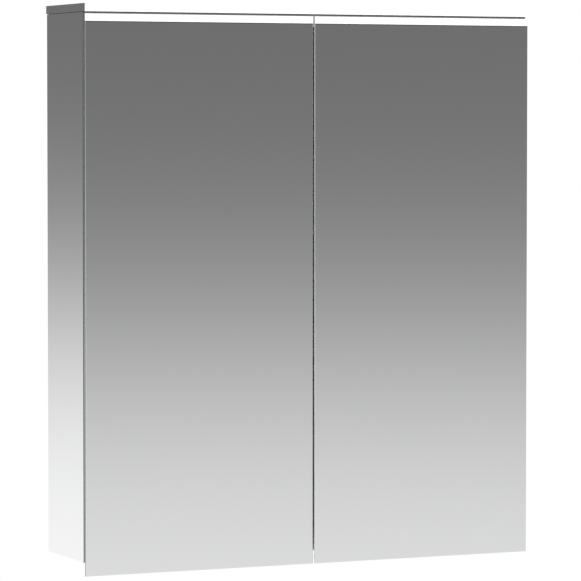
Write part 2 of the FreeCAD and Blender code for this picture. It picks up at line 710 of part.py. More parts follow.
def hinge_stile(name, side):
    """Stile behind the hinge edge, with a round nose about the pivot and a bore at each end."""
    axis_x = outward(side, "pivot_inset", "0")
    body = new_body(name + "_hinge_stile", axis_x, "pivot_y", "stile_bottom")
    sketch = new_sketch(body, "plan", "XY_Plane")
    nose, radius = -side, number("stile_nose")
    inner = "stile_width - stile_nose"
    front = "pane_back - pivot_y"
    outer_x, inner_x = "-stile_nose", inner
    if side > 0:
        outer_x, inner_x = "stile_nose", "-(%s)" % inner
    at = [FreeCAD.Vector(number(x), number(y), 0)
          for x, y in ((outer_x, front), (inner_x, front), (inner_x, "stile_nose"))]
    rear, flank = FreeCAD.Vector(0, radius, 0), FreeCAD.Vector(-nose * radius, 0, 0)
    sketch.addGeometry(Part.LineSegment(at[0], at[1]), False)
    sketch.addGeometry(Part.LineSegment(at[1], at[2]), False)
    sketch.addGeometry(Part.LineSegment(at[2], rear), False)
    circle = Part.Circle(FreeCAD.Vector(0, 0, 0), FreeCAD.Vector(0, 0, 1), radius)
    sweep = (math.pi / 2, math.pi) if side < 0 else (0, math.pi / 2)
    sketch.addGeometry(Part.ArcOfCircle(circle, *sweep), False)
    sketch.addGeometry(Part.LineSegment(flank, at[0]), False)
    arc_rear, arc_flank = (1, 2) if side < 0 else (2, 1)
    for pair in ((0, 2, 1, 1), (1, 2, 2, 1), (2, 2, 3, arc_rear), (3, arc_flank, 4, 1),
                 (4, 2, 0, 1), (3, 3, -1, 1)):
        sketch.addConstraint(Sketcher.Constraint("Coincident", *pair))
    held = sketch.addConstraint(Sketcher.Constraint("Radius", 3, radius))
    bind(sketch, "Constraints[%d]" % held, "stile_nose")
    pin_point(sketch, 0, 1, outer_x, front)
    pin_point(sketch, 1, 1, inner_x, front)
    pin_point(sketch, 2, 1, inner_x, "stile_nose")
    sketch.addConstraint(Sketcher.Constraint("PointOnObject", 2, 2, -2))
    sketch.addConstraint(Sketcher.Constraint("PointOnObject", 4, 1, -1))
    height = "door_top - stile_bottom"
    pad(body, sketch, height)
    bore, depth = "pivot_radius + pivot_clearance", "pivot_engagement + 1"
    cut_circles(body, "lower_bore", "XY_Plane", [("0", "0")], bore, depth, True)
    cut_circles(body, "upper_bore", "XY_Plane", [("0", "0")], bore, depth, False, height)
    return body


def pivots():
    pins = []
    for name, side in SIDES:
        axis_x = outward(side, "pivot_inset", "0")
        nodes.append(lower_bracket(name, side, axis_x))
        low = rod(name + "_lower_pin", "pivot_radius",
                  "bracket_thickness + stile_play + pivot_engagement",
                  axis_x, "pivot_y", "carcass_bottom - bracket_thickness", "z")
        high = rod(name + "_upper_pin", "pivot_radius",
                   "slab_height / 2 + door_top_gap + pivot_engagement",
                   axis_x, "pivot_y", "slab_bottom + slab_height / 2", "-z")
        pins += [low, high]
        holder = block(name + "_upper_pivot_block", outward(side, "0", END_BLOCK), "pane_back",
                       "slab_bottom", END_BLOCK, "carcass_front - pane_back", "slab_height")
        across = "pivot_inset" if side < 0 else "%s - pivot_inset" % END_BLOCK
        cut_circles(holder, "pin_bore", "XY_Plane", [(across, "pivot_y - pane_back")],
                    "pivot_radius", "slab_height / 2", True)
        nodes.append(holder)
    nodes.append(join("pivot_pins", pins, "Part::Compound"))


def lower_bracket(name, side, axis_x):
    """Plate under the bottom board whose narrow tongue reaches the pivot behind the mirror."""
    body = new_body(name + "_lower_pivot_bracket", axis_x, "pivot_y",
                    "carcass_bottom - bracket_thickness")
    foot = new_sketch(body, "foot", "XY_Plane")
    shift = "carcass_front - pivot_y + 2"
    plan = [("5", shift), ("32", shift), ("32", shift + " + 44"), ("14", shift + " + 44"),
            ("5", shift + " + 30")]
    add_outline(foot, [(handed(side, x), y) for x, y in plan])
    pad(body, foot, "bracket_thickness")
    tongue = new_sketch(body, "tongue", "XY_Plane")
    slope = math.radians(TONGUE_SLOPE)
    across, along = math.sin(slope), math.cos(slope)
    corners = [("tongue_radius * %.5f" % -across, "tongue_radius * %.5f" % along),
               ("tongue_radius * %.5f" % across, "tongue_radius * %.5f" % -along),
               ("tongue_radius * %.5f + 14" % across, shift + " + 1"),
               ("9", shift + " + 8"), ("6", shift + " + 3")]
    add_outline(tongue, [(handed(side, x), y) for x, y in corners])
    pad(body, tongue, "bracket_thickness")
    nose = new_sketch(body, "nose", "XY_Plane")
    add_circle(nose, "0", "0", "tongue_radius")
    pad(body, nose, "bracket_thickness")
    cut_circles(body, "pin_hole", "XY_Plane", [("0", "0")], "pivot_radius",
                "bracket_thickness", True)
    holes = [(handed(side, x + " - pivot_inset"), "carcass_front - pivot_y + " + y)
             for x, y in BRACKET_SCREWS]
    cut_circles(body, "screw_holes", "XY_Plane", holes, SHORT_SCREW_RADIUS,
                "bracket_thickness", True)
    return body


def short_screws():
    """Identical pan-head screws of the pivot brackets and the rear cleat."""
    pieces = []
    for name, side in SIDES:
        for index, (x, y) in enumerate(BRACKET_SCREWS):
            at_x = outward(side, x, "0")
            at_y, level = "carcass_front + " + y, "carcass_bottom - bracket_thickness"
            label = "%s_bracket_screw_%d" % (name, index)
            shank = rod(label + "_shank", SHORT_SCREW_RADIUS, SHORT_SCREW_LENGTH + 2,
                        at_x, at_y, level, "z")
            head = rod(label + "_head", SHORT_SCREW_HEAD, SHORT_SCREW_HEAD_HEIGHT, at_x, at_y,
                       level, "-z")
            pieces.append(join(label, [shank, head]))
    for index, x in enumerate(CLEAT_SCREWS):
        label = "cleat_screw_%d" % index
        rear = "cavity_front + rail_gauge"
        shank = rod(label + "_shank", SHORT_SCREW_RADIUS, "rail_gauge + %s" % CLEAT_SCREW_BITE,
                    x, rear, CLEAT_SCREW_LEVEL, "-y")
        head = rod(label + "_head", SHORT_SCREW_HEAD, SHORT_SCREW_HEAD_HEIGHT, x, rear,
                   CLEAT_SCREW_LEVEL, "y")
        pieces.append(join(label, [shank, head]))
    nodes.append(join("short_screws", pieces, "Part::Compound"))


def catches():
    """Magnets in the bottom board and clear buffers on the carcass front."""
    magnets = [rod("magnet_%d" % index, MAGNET_RADIUS, MAGNET_LENGTH, x, "carcass_front",
                   "carcass_bottom + board / 2", "y") for index, x in enumerate(MAGNETS)]
    nodes.append(join("catch_magnets", magnets, "Part::Compound"))
    buffers = [rod("buffer_%d" % index, BUFFER_RADIUS, "door_gap - %s" % BUFFER_PLAY, x,
                   "carcass_front", "carcass_bottom + board / 2", "-y")
               for index, x in enumerate(BUFFERS)]
    nodes.append(join("door_buffers", buffers, "Part::Compound"))


# ---------------------------------------------------------------- hanging on the wall
def rail_and_cleat():
    """Two interlocking Z profiles: one on the wall, one on the back panel."""
    gauge, high, hook = "rail_gauge", "rail_height", "rail_offset"
    length = "2 * (inner_half - rail_end_gap)"
    rail = extrusion(
        "wall_rail", "-inner_half + rail_end_gap", "-rail_gauge - rail_offset",
        "-rail_height / 2",
        [(hook, "0"), (hook + " + " + gauge, "0"), (hook + " + " + gauge, high),
         (gauge, high), (gauge, high + " + rail_lip"), ("0", high + " + rail_lip"),
         ("0", high + " - " + gauge), (hook, high + " - " + gauge)], length)
    middle = "inner_half - rail_end_gap"
    holes = [(middle + " - fixing_spacing / 2", high + " / 2"),
             (middle + " + fixing_spacing / 2", high + " / 2")]
    cut_circles(rail, "fixing_holes", "XZ_Plane", holes, "fixing_radius", gauge, False,
                "-rail_offset")
    lip_front = "-cavity_front - rail_offset + %s" % CLEAT_LIP_PLAY
    lip_back = lip_front + " + rail_gauge"
    top = "cleat_top - (%s)" % CLEAT_LOW
    under = top + " - rail_gauge"
    tip = under + " - rail_lip + %s" % CLEAT_LIP_SHORT
    cleat = extrusion(
        "cabinet_cleat", "-inner_half + rail_end_gap", "cavity_front", CLEAT_LOW,
        [("0", "0"), (gauge, "0"), (gauge, under), (lip_front, under), (lip_front, tip),
         (lip_back, tip), (lip_back, top), ("0", top)], length)
    screws = [(middle + " + (%s)" % x, "%s - (%s)" % (CLEAT_SCREW_LEVEL, CLEAT_LOW))
              for x in CLEAT_SCREWS]
    cut_circles(cleat, "screw_holes", "XZ_Plane", screws, SHORT_SCREW_RADIUS, gauge, False)
    nodes.extend([rail, cleat])


def wall_buffers():
    """Pads on the rear of the side boards that keep the carcass parallel to the wall."""
    pads = []
    for name, side in SIDES:
        x = outward(side, "side_skin + board / 2", "0")
        pads.append(rod(name + "_wall_pad", WALL_PAD_RADIUS, "wall_gap", x, "carcass_back",
                        "carcass_bottom + %s" % WALL_PAD_RISE, "y"))
    nodes.append(join("wall_buffers", pads, "Part::Compound"))


# ---------------------------------------------------------------- electrics
def electrics():
    """Driver and mains terminal box in the space behind the back panel."""
    driver = block("led_driver", DRIVER_X, "cavity_front", "-%s" % DRIVER_DROP, *DRIVER)
    bevel(driver, CASE_ARRIS, lambda point: point.y > DRIVER[1] - EDGE)
    box = block("terminal_box", BOX_X, "cavity_front", "unit_bottom + %s" % BOX_RISE, *BOX)
    bevel(box, CASE_ARRIS, lambda point: point.y > BOX[1] - EDGE)
    nodes.extend([driver, box])
    x, y = BOX_X + BOX[0] / 2, "cavity_front + %s" % (BOX[1] / 2)
    low = "unit_bottom + %s - %s" % (BOX_RISE, GLAND_LENGTH)
    outer = rod("gland_outer", "gland_bore + %s" % GLAND_WALL, GLAND_LENGTH, x, y, low, "z")
    inner = rod("gland_inner", "gland_bore", GLAND_LENGTH, x, y, low, "z")
    nodes.append(cut("mains_gland", outer, inner))


def tube(label, points, radius):
    """A held cable: straight runs joined by tangent arcs as large as the runs allow."""
    path, start = [], points[0]
    for before, corner, after in zip(points, points[1:], points[2:]):
        run_in, run_out = (before - corner).normalize(), (after - corner).normalize()
        turn = math.pi - run_in.getAngle(run_out)
        reach = 0.45 * min(before.distanceToPoint(corner), after.distanceToPoint(corner))
        arc_start, arc_end = corner + run_in * reach, corner + run_out * reach
        bisector = (run_in + run_out).normalize()
        bend = reach / math.tan(turn / 2)
        middle = corner + bisector * (bend / math.cos(turn / 2) - bend)
        path.append(Part.LineSegment(start, arc_start).toShape())
        path.append(Part.Arc(arc_start, middle, arc_end).toShape())
        start = arc_end
    path.append(Part.LineSegment(start, points[-1]).toShape())
    wire = Part.Wire(path)
    section = Part.Wire(Part.Circle(points[0], points[1] - points[0], radius).toShape())
    feature = doc.addObject("Part::Feature", label)
    feature.Shape = wire.makePipeShell([section], True, False)
    feature.Label = label
    feature.Placement = FreeCAD.Placement()
    expected = math.pi * radius ** 2 * wire.Length
    if abs(feature.Shape.Volume / expected - 1) > 0.01:
        raise RuntimeError("the tube %s has the wrong volume" % label)
    return feature


def leads():
    """Cables that lie in the space behind the back panel."""
    def point(x, y, z):
        return FreeCAD.Vector(number(x), number(y), number(z))
    column = "-inner_half + %s" % LEAD_COLUMN
    behind = "carcass_back - %s" % LEAD_COLUMN_FROM_WALL
    driver_z = -DRIVER_DROP + DRIVER[2] / 2
    driver_y = "cavity_front + %s" % (DRIVER[1] / 2)
    box_z = "unit_bottom + %s + %s" % (BOX_RISE, BOX[2] / 2)
    nodes.append(tube("led_lead", [
        point(DRIVER_X, driver_y, driver_z), point(DRIVER_X - 38, driver_y, driver_z),
        point(column, behind, driver_z + 30), point(column, behind, "slab_bottom + 4")],
        LEAD_RADIUS))
    driver_end = DRIVER_X + DRIVER[0]
    nodes.append(tube("driver_lead", [
        point(driver_end, driver_y, driver_z), point(driver_end + 40, driver_y, driver_z),
        point(driver_end + 70, driver_y, driver_z - 60),
        point(BOX_X - 45, driver_y, "unit_bottom + 130"),
        point(BOX_X - 30, driver_y, box_z), point(BOX_X, driver_y, box_z)], LEAD_RADIUS))
    unit_z = "inner_bottom + %s" % SOCKET_LEAD_HEIGHT
    box_end = BOX_X + BOX[0]
    nodes.append(tube("socket_lead", [
        point(box_end, driver_y, box_z), point(box_end + 24, driver_y, box_z),
        point("unit_middle", driver_y, unit_z),
        point("unit_middle", "inner_back - unit_wall", unit_z)], LEAD_RADIUS))


# ---------------------------------------------------------------- socket and switch
def power_unit():
    deep = "unit_depth - face_plate"
    shell = block("power_housing", "unit_x", "unit_front + face_plate", "unit_bottom",
                  "unit_width", deep, "unit_height")
    hollow = new_sketch(shell, "hollow", "XZ_Plane")
    add_rectangle(hollow, "unit_wall", "unit_wall", "unit_width - 2 * unit_wall",
                  "unit_height - 2 * unit_wall")
    pocket(shell, hollow, deep + " - unit_wall", False)
    exit_hole = [("unit_width / 2", SOCKET_LEAD_HEIGHT + " - unit_bottom + inner_bottom")]
    cut_circles(shell, "lead_hole", "XZ_Plane", exit_hole, LEAD_HOLE_RADIUS, "unit_wall", True,
                "-(%s)" % deep)
    nodes.append(shell)
    nodes.append(face_plate())
    nodes.append(socket_cup())
    contacts = []
    for index, shift in enumerate((-CONTACT_SPREAD, CONTACT_SPREAD)):
        at = ("unit_middle + (%s)" % shift,
              "unit_front + recess_depth + %s" % CUP_FLOOR, "socket_z")
        outer = rod("contact_outer_%d" % index, CONTACT_RADIUS + CONTACT_WALL, CONTACT_LENGTH,
                    *at, "y")
        inner = rod("contact_inner_%d" % index, CONTACT_RADIUS, CONTACT_LENGTH, *at, "y")
        contacts.append(cut("contact_%d" % index, outer, inner))
    nodes.append(join("socket_contacts", contacts, "Part::Compound"))
    rocker_switch()


def face_plate():
    body = block("power_face_plate", "unit_x", "unit_front", "unit_bottom", "unit_width",
                 "face_plate", "unit_height")
    bevel(body, PLATE_ARRIS, lambda point: point.y < EDGE)
    cut_circles(body, "cup_hole", "XZ_Plane", [("unit_width / 2", "socket_z - unit_bottom")],
                "recess_radius + %s" % CUP_WALL, "face_plate", False)
    wide, high = ROCKER[0] + 2 * ROCKER_SIDE_PLAY, ROCKER[1] + 2 * ROCKER_PLAY
    window = new_sketch(body, "window", "XZ_Plane")
    add_rectangle(window, "unit_width / 2 - %s" % (wide / 2),
                  "switch_z - unit_bottom - %s" % (high / 2), wide, high)
    pocket(body, window, "face_plate", False)
    lugs = new_sketch(body, "lugs", "XZ_Plane", "-face_plate")
    for start in ("unit_width / 2 - %s" % (wide / 2 + LUG), "unit_width / 2 + %s" % (wide / 2)):
        add_rectangle(lugs, start, "switch_z - unit_bottom - %s" % (LUG_HEIGHT / 2), LUG,
                      LUG_HEIGHT)
    pad(body, lugs, LUG_DEPTH, True)
    pin = [(PIVOT_BEHIND_FRONT, "switch_z - unit_bottom")]
    cut_circles(body, "pin_bore", "YZ_Plane", pin, ROCKER_PIN, wide + 2 * LUG, True,
                "unit_width / 2 - %s" % (wide / 2 + LUG))
    return body


def socket_cup():
    outer = rod("cup_outer", "recess_radius + %s" % CUP_WALL, "recess_depth + %s" % CUP_FLOOR,
                "unit_middle", "unit_front", "socket_z", "y")
    recess = rod("cup_recess", "recess_radius", "recess_depth", "unit_middle", "unit_front",
                 "socket_z", "y")
    pins = [rod("cup_pin_%d" % index, CONTACT_RADIUS, "recess_depth + %s" % CUP_FLOOR,
                "unit_middle + (%s)" % shift, "unit_front", "socket_z", "y")
            for index, shift in enumerate((-CONTACT_SPREAD, CONTACT_SPREAD))]
    return cut("socket_cup", outer, join("cup_tools", [recess] + pins))


def rocker_switch():
    """Rocker with two facets, stored with its upper half pressed in, as when the light is on."""
    wide, high = ROCKER
    apex, rear = -(PIVOT_BEHIND_FRONT + ROCKER_APEX), ROCKER_REAR
    slope = math.tan(math.radians(ROCKER_TILT)) * high / 2
    turn = math.radians(ROCKER_TILT)
    rear_half = high / 2 - ROCKER_TAPER
    outline = [(apex, 0.0), (apex + slope, high / 2), (rear, rear_half), (rear, -rear_half),
               (apex + slope, -high / 2)]
    turned = [(y * math.cos(turn) + z * math.sin(turn), z * math.cos(turn) - y * math.sin(turn))
              for y, z in outline]
    body = new_body("switch_rocker", "unit_middle - %s" % (wide / 2),
                    "unit_front + %s" % PIVOT_BEHIND_FRONT, "switch_z")
    sketch = new_sketch(body, "profile", "YZ_Plane")
    add_outline(sketch, [("%.4f" % y, "%.4f" % z) for y, z in turned])
    pad(body, sketch, wide)
    cut_circles(body, "pin_bore", "YZ_Plane", [("0", "0")], ROCKER_PIN + ROCKER_PIN_PLAY, wide,
                True)
    nodes.append(body)
    reach = wide / 2 + ROCKER_SIDE_PLAY + LUG
    nodes.append(join("switch_pin", [rod("switch_pin_rod", ROCKER_PIN, 2 * reach,
                 "unit_middle - %s" % reach, "unit_front + %s" % PIVOT_BEHIND_FRONT,
                 "switch_z", "x")], "Part::Compound"))


side_panels()
top_and_bottom()
carcass_screws()
back()
shelves()
slab()
slab_gasket()
slab_screws()
light_channel()
led_chips()
doors()
pivots()
short_screws()
catches()
rail_and_cleat()
wall_buffers()
electrics()
leads()
power_unit()
doc.recompute()

for thing in doc.Objects:
    if "Invalid" in thing.State or "Error" in thing.State:
        raise RuntimeError("%s is %s" % (thing.Label, thing.State))
for node in nodes:
    if node.Shape.isNull() or not node.Shape.isValid() or not node.Shape.Solids:
        raise RuntimeError("the shape of %s is not valid" % node.Label)

os.makedirs("parts", exist_ok=True)
for node in nodes:
    node.Shape.exportStep(os.path.join("parts", node.Label + ".step"))
box = Part.makeCompound([node.Shape for node in nodes]).BoundBox
print(len(nodes), "nodes,", "box %.1f x %.1f x %.1f mm" % (box.XLength, box.YLength, box.ZLength))
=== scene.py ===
"""Wall-hung mirror cabinet with two doors and a light slab: finishes, fittings and studio.

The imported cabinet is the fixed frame. Boards, panes and profiles keep their solids and get their
finishes here; screws, pins, the driver, the terminal box and other fittings are made in detail.
"""
import math

import bmesh
import bpy
from mathutils import Matrix, Vector


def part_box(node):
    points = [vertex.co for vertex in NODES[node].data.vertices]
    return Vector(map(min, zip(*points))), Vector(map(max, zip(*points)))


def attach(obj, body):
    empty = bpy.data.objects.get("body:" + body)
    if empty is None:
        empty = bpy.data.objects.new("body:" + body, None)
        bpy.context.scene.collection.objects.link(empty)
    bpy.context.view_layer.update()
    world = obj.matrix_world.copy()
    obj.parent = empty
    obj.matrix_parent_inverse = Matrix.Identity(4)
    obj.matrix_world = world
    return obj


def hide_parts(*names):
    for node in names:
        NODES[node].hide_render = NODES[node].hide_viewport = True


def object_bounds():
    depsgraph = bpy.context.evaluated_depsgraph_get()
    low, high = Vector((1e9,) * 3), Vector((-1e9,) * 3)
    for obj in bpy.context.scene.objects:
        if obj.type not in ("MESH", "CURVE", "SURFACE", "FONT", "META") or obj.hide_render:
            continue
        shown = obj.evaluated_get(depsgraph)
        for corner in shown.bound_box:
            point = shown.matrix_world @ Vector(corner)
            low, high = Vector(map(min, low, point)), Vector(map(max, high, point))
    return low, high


bl_info = {
    "name": "Mirror Cabinet",
    "version": (1, 0, 0),
    "blender": (4, 5, 0),
    "location": "3D View > Sidebar > Mirror Cabinet",
    "description": "Finishes and fittings of a wall-hung mirror cabinet with a light slab",
    "category": "Object",
}

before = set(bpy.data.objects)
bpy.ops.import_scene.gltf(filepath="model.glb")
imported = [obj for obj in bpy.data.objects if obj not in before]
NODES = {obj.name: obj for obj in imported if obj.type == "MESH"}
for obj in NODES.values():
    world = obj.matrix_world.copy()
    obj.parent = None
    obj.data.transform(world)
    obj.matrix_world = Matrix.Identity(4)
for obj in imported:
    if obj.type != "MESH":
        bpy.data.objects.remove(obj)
CAD_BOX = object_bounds()
MM = 0.001

# Spacing of the light-emitting chips behind the opal glass.
CHIP_PITCH = 19.2 * MM

# Directions of the cabinet: the doors face the room, the back faces the wall.
TOWARDS_ROOM = (0.0, -1.0, 0.0)
TOWARDS_WALL = (0.0, 1.0, 0.0)
LEFTWARDS = (-1.0, 0.0, 0.0)

# The camera: place and farthest reach in metres, dip and turn in degrees, lens in millimetres.
CAMERA_PLACE = (-1.750, -4.010, -0.077)
CAMERA_DIP = 2.408
CAMERA_TURN = -23.942
CAMERA_LENS = 212.75
CAMERA_SENSOR = 36.0
CAMERA_SHIFT = -0.05
CAMERA_REACH = 60.0

# Name, place, width and height of each softbox in metres, and its power in watts.
SOFTBOXES = (
    ("key_softbox", (-2.2, -2.6, 1.9), (1.8, 1.8), 62.0),
    ("fill_softbox", (2.6, -2.2, 0.6), (1.6, 2.0), 22.0),
    ("top_softbox", (0.2, -0.3, 2.6), (2.2, 2.2), 30.0),
    ("rear_softbox", (1.8, 2.6, 1.2), (1.8, 1.8), 40.0),
)
SOFTBOX_COLOUR = (1.0, 0.99, 0.975)

# Brightness of the even light that reaches dull surfaces from all round.
FILL_TONE = 0.62

# Places of the two colours and of the result among the sockets of a mix node.
FIRST_COLOUR = 6
SECOND_COLOUR = 7
MIXED_COLOUR = 2


# ------------------------------------------------------------------ settings a user would change
class CabinetFinishSettings(bpy.types.PropertyGroup):
    """Colours of the cabinet's finishes."""
    silver: bpy.props.FloatVectorProperty(
        name="Silvering", description="Colour that the mirrors reflect", subtype="COLOR",
        size=3, min=0.0, max=1.0, default=(0.876, 0.880, 0.880))
    board: bpy.props.FloatVectorProperty(
        name="Board lacquer", description="Lacquer of the boards and the back panel",
        subtype="COLOR", size=3, min=0.0, max=1.0, default=(0.86, 0.86, 0.85))
    aluminium: bpy.props.FloatVectorProperty(
        name="Aluminium", description="End plates, hinge stiles and upper pivot blocks",
        subtype="COLOR", size=3, min=0.0, max=1.0, default=(0.845, 0.850, 0.852))
    plastic: bpy.props.FloatVectorProperty(
        name="Socket unit", description="Moulded plastic of the socket and switch unit",
        subtype="COLOR", size=3, min=0.0, max=1.0, default=(0.83, 0.83, 0.82))
    case: bpy.props.FloatVectorProperty(
        name="Driver case", description="Plastic of the driver and the terminal box",
        subtype="COLOR", size=3, min=0.0, max=1.0, default=(0.34, 0.36, 0.39))
    lamp: bpy.props.FloatVectorProperty(
        name="Light", description="Colour of the lit slab and stripes", subtype="COLOR",
        size=3, min=0.0, max=1.0, default=(1.0, 0.995, 0.985))
    glow: bpy.props.FloatProperty(
        name="Glow", description="Brightness of the lit slab and stripes", min=0.0, max=4.0,
        default=0.24)


class CabinetSizeSettings(bpy.types.PropertyGroup):
    """Sizes of the softened edges and of the small fittings."""
    edge: bpy.props.FloatProperty(
        name="Edge rounding", description="Rounding of board and plate edges", unit="LENGTH",
        subtype="DISTANCE", min=0.0, max=0.002, default=0.0004)
    recess: bpy.props.FloatProperty(
        name="Screw recess", description="Reach of a cross recess from the screw's axis",
        unit="LENGTH", subtype="DISTANCE", min=0.0005, max=0.003, default=0.0017)
    floor_drop: bpy.props.FloatProperty(
        name="Floor below the cabinet", description="From the door bottoms to the floor",
        unit="LENGTH", subtype="DISTANCE", min=0.1, max=3.0, default=0.75)
    floor_radius: bpy.props.FloatProperty(
        name="Floor radius", description="Radius of the round studio floor", unit="LENGTH",
        subtype="DISTANCE", min=1.0, max=20.0, default=4.2)


def finishes():
    return bpy.context.scene.cabinet_finish


def sizes():
    return bpy.context.scene.cabinet_size


# ------------------------------------------------------------------ shader building
class Shade:
    """A material under construction: one Principled shader and the nodes that feed it."""

    def __init__(self, name, colour=(0.8, 0.8, 0.8), **sockets):
        self.material = bpy.data.materials.new(name)
        self.material.use_nodes = True
        self.tree = self.material.node_tree
        self.shader = next(n for n in self.tree.nodes if n.type == "BSDF_PRINCIPLED")
        self.set("Base Color", (*colour, 1.0))
        for key, value in sockets.items():
            self.set(key.replace("_", " "), value)
        self.material.diffuse_color = (*colour, 1.0)

    def set(self, socket, value):
        self.shader.inputs[socket].default_value = value

    def node(self, kind, inputs=None, **settings):
        made = self.tree.nodes.new(kind)
        for key, value in settings.items():
            setattr(made, key, value)
        for key, value in (inputs or {}).items():
            socket = made.inputs[key]
            if isinstance(value, bpy.types.NodeSocket):
                self.tree.links.new(value, socket)
            else:
                socket.default_value = value
        return made

    def feed(self, socket, output):
        self.tree.links.new(output, self.shader.inputs[socket])

    def place(self, stretch=(1.0, 1.0, 1.0)):
        """Object coordinates in metres, stretched per axis."""
        source = self.node("ShaderNodeTexCoord").outputs["Object"]
        return self.node("ShaderNodeMapping", {"Vector": source, "Scale": stretch}).outputs[0]

    def facing(self, direction):
        """How far the surface faces a direction of the piece itself, from -1 to 1."""
        normal = self.node("ShaderNodeTexCoord").outputs["Normal"]
        return self.node("ShaderNodeVectorMath", {0: normal, 1: direction},
                         operation="DOT_PRODUCT").outputs["Value"]

    def noise(self, scale, stretch=(1.0, 1.0, 1.0), detail=3.0, roughness=0.55):
        return self.node("ShaderNodeTexNoise", {
            "Vector": self.place(stretch), "Scale": scale, "Detail": detail,
            "Roughness": roughness}).outputs["Fac"]

    def cells(self, scale, feature="F1", stretch=(1.0, 1.0, 1.0)):
        return self.node("ShaderNodeTexVoronoi", {
            "Vector": self.place(stretch), "Scale": scale}, feature=feature).outputs

    def spread(self, value, low, high, start=0.3, end=0.7):
        """Map a value from start..end on to low..high."""
        return self.node("ShaderNodeMapRange", {
            "Value": value, "From Min": start, "From Max": end, "To Min": low,
            "To Max": high}).outputs["Result"]

    def above(self, value, limit):
        return self.node("ShaderNodeMath", {0: value, 1: limit},
                         operation="GREATER_THAN").outputs[0]

    def product(self, first, second):
        return self.node("ShaderNodeMath", {0: first, 1: second},
                         operation="MULTIPLY").outputs[0]

    def blend(self, mask, first, second):
        """Colour mix of two sockets or RGB tuples."""
        mix = self.node("ShaderNodeMix", data_type="RGBA")
        for socket, value in ((mix.inputs["Factor"], mask), (mix.inputs[FIRST_COLOUR], first),
                              (mix.inputs[SECOND_COLOUR], second)):
            if isinstance(value, bpy.types.NodeSocket):
                self.tree.links.new(value, socket)
            elif isinstance(value, tuple):
                socket.default_value = (*value[:3], 1.0)
            else:
                socket.default_value = value
        return mix.outputs[MIXED_COLOUR]

    def bump(self, height, strength, distance):
        made = self.node("ShaderNodeBump", {"Height": height, "Strength": strength,
                                            "Distance": distance})
        self.feed("Normal", made.outputs["Normal"])


def tint(colour, factor):
    return tuple(min(1.0, c * factor) for c in colour)


# ------------------------------------------------------------------ finishes
# Darker and lighter tone of a pane's edge: ground, seamed, and a light pair that is painted
# highlight, as if light from the left fell on the edge. On the opal glass the ground pair is
# painted shade of the gaps around it.
GLASS_EDGE_AND_GAP_SHADE = ((0.026, 0.029, 0.029), (0.044, 0.048, 0.047))
SEAMED_EDGE = ((0.16, 0.17, 0.17), (0.20, 0.21, 0.21))
PAINTED_HIGHLIGHT_EDGE = ((0.80, 0.82, 0.82), (0.90, 0.92, 0.92))


def silvered_pane(name, face, edges=GLASS_EDGE_AND_GAP_SHADE, left_edge=None):
    """Mirror glass: silver towards `face`, ground edges and a painted backing.

    A door pane names the two tones of its left edge; its left-facing bevel gets a painted
    highlight, lighter as if lit from the left.
    """
    silver = tuple(finishes().silver)
    shade = Shade(name, silver, Specular_IOR_Level=0.5)
    towards = shade.facing(face)
    front = shade.above(towards, 0.95)
    bevel = shade.above(towards, 0.5)
    metal = bevel
    behind = shade.above(shade.facing(tuple(-c for c in face)), 0.5)
    speck = shade.spread(shade.noise(900.0, detail=2.0), 0.0, 1.0)
    edge = shade.blend(speck, *edges)
    bevel_tone_and_highlight = (0.74, 0.76, 0.76)
    haze = 0.05
    # Left-facing faces of a door pane: a painted highlight on the bevel, lighter, hazier and a
    # little less metallic, as if light from the left fell on it; the edge takes the given left
    # tones.
    if left_edge:
        left = shade.above(shade.facing(LEFTWARDS), 0.5)
        edge = shade.blend(left, edge, shade.blend(speck, *left_edge))
        bevel_tone_and_highlight = shade.blend(left, bevel_tone_and_highlight, (0.95, 0.96, 0.96))
        haze = shade.spread(left, 0.05, 0.18, 0.0, 1.0)
        metal = shade.product(bevel, shade.spread(left, 1.0, 0.9, 0.0, 1.0))
    wipe = shade.noise(9.0, (1.0, 1.0, 2.6), detail=4.0)
    coating = shade.blend(shade.spread(wipe, 0.0, 1.0), tint(silver, 0.994), silver)
    backing = shade.blend(shade.spread(shade.noise(350.0), 0.0, 1.0), (0.27, 0.28, 0.29),
                          (0.33, 0.34, 0.35))
    colour = shade.blend(bevel, edge, bevel_tone_and_highlight)
    colour = shade.blend(front, colour, coating)
    shade.feed("Base Color", shade.blend(behind, colour, backing))
    shade.feed("Metallic", metal)
    rough = shade.node("ShaderNodeMix", {
        "Factor": front, 2: haze, 3: shade.spread(wipe, 0.012, 0.024)},
        data_type="FLOAT").outputs[0]
    shade.feed("Roughness", rough)
    return shade.material


def lacquered_board():
    colour = tuple(finishes().board)
    shade = Shade("white_lacquer", colour, Coat_Weight=0.18, Coat_Roughness=0.22)
    broad = shade.noise(7.0, detail=4.0)
    shade.feed("Base Color", shade.blend(shade.spread(broad, 0.0, 1.0), tint(colour, 0.975),
                                         tint(colour, 1.015)))
    shade.feed("Roughness", shade.spread(shade.noise(60.0), 0.34, 0.46))
    shade.bump(shade.noise(1400.0, detail=2.0), 0.10, 0.0002)
    return shade.material


def back_board():
    """Thin painted back panel: a faint pressed grain shows through."""
    colour = tint(tuple(finishes().board), 0.97)
    shade = Shade("painted_back", colour)
    grain = shade.noise(130.0, (1.0, 1.0, 0.06), detail=5.0)
    shade.feed("Base Color", shade.blend(shade.spread(grain, 0.0, 1.0), tint(colour, 0.955),
                                         colour))
    shade.feed("Roughness", shade.spread(grain, 0.48, 0.62))
    shade.bump(grain, 0.16, 0.0003)
    return shade.material


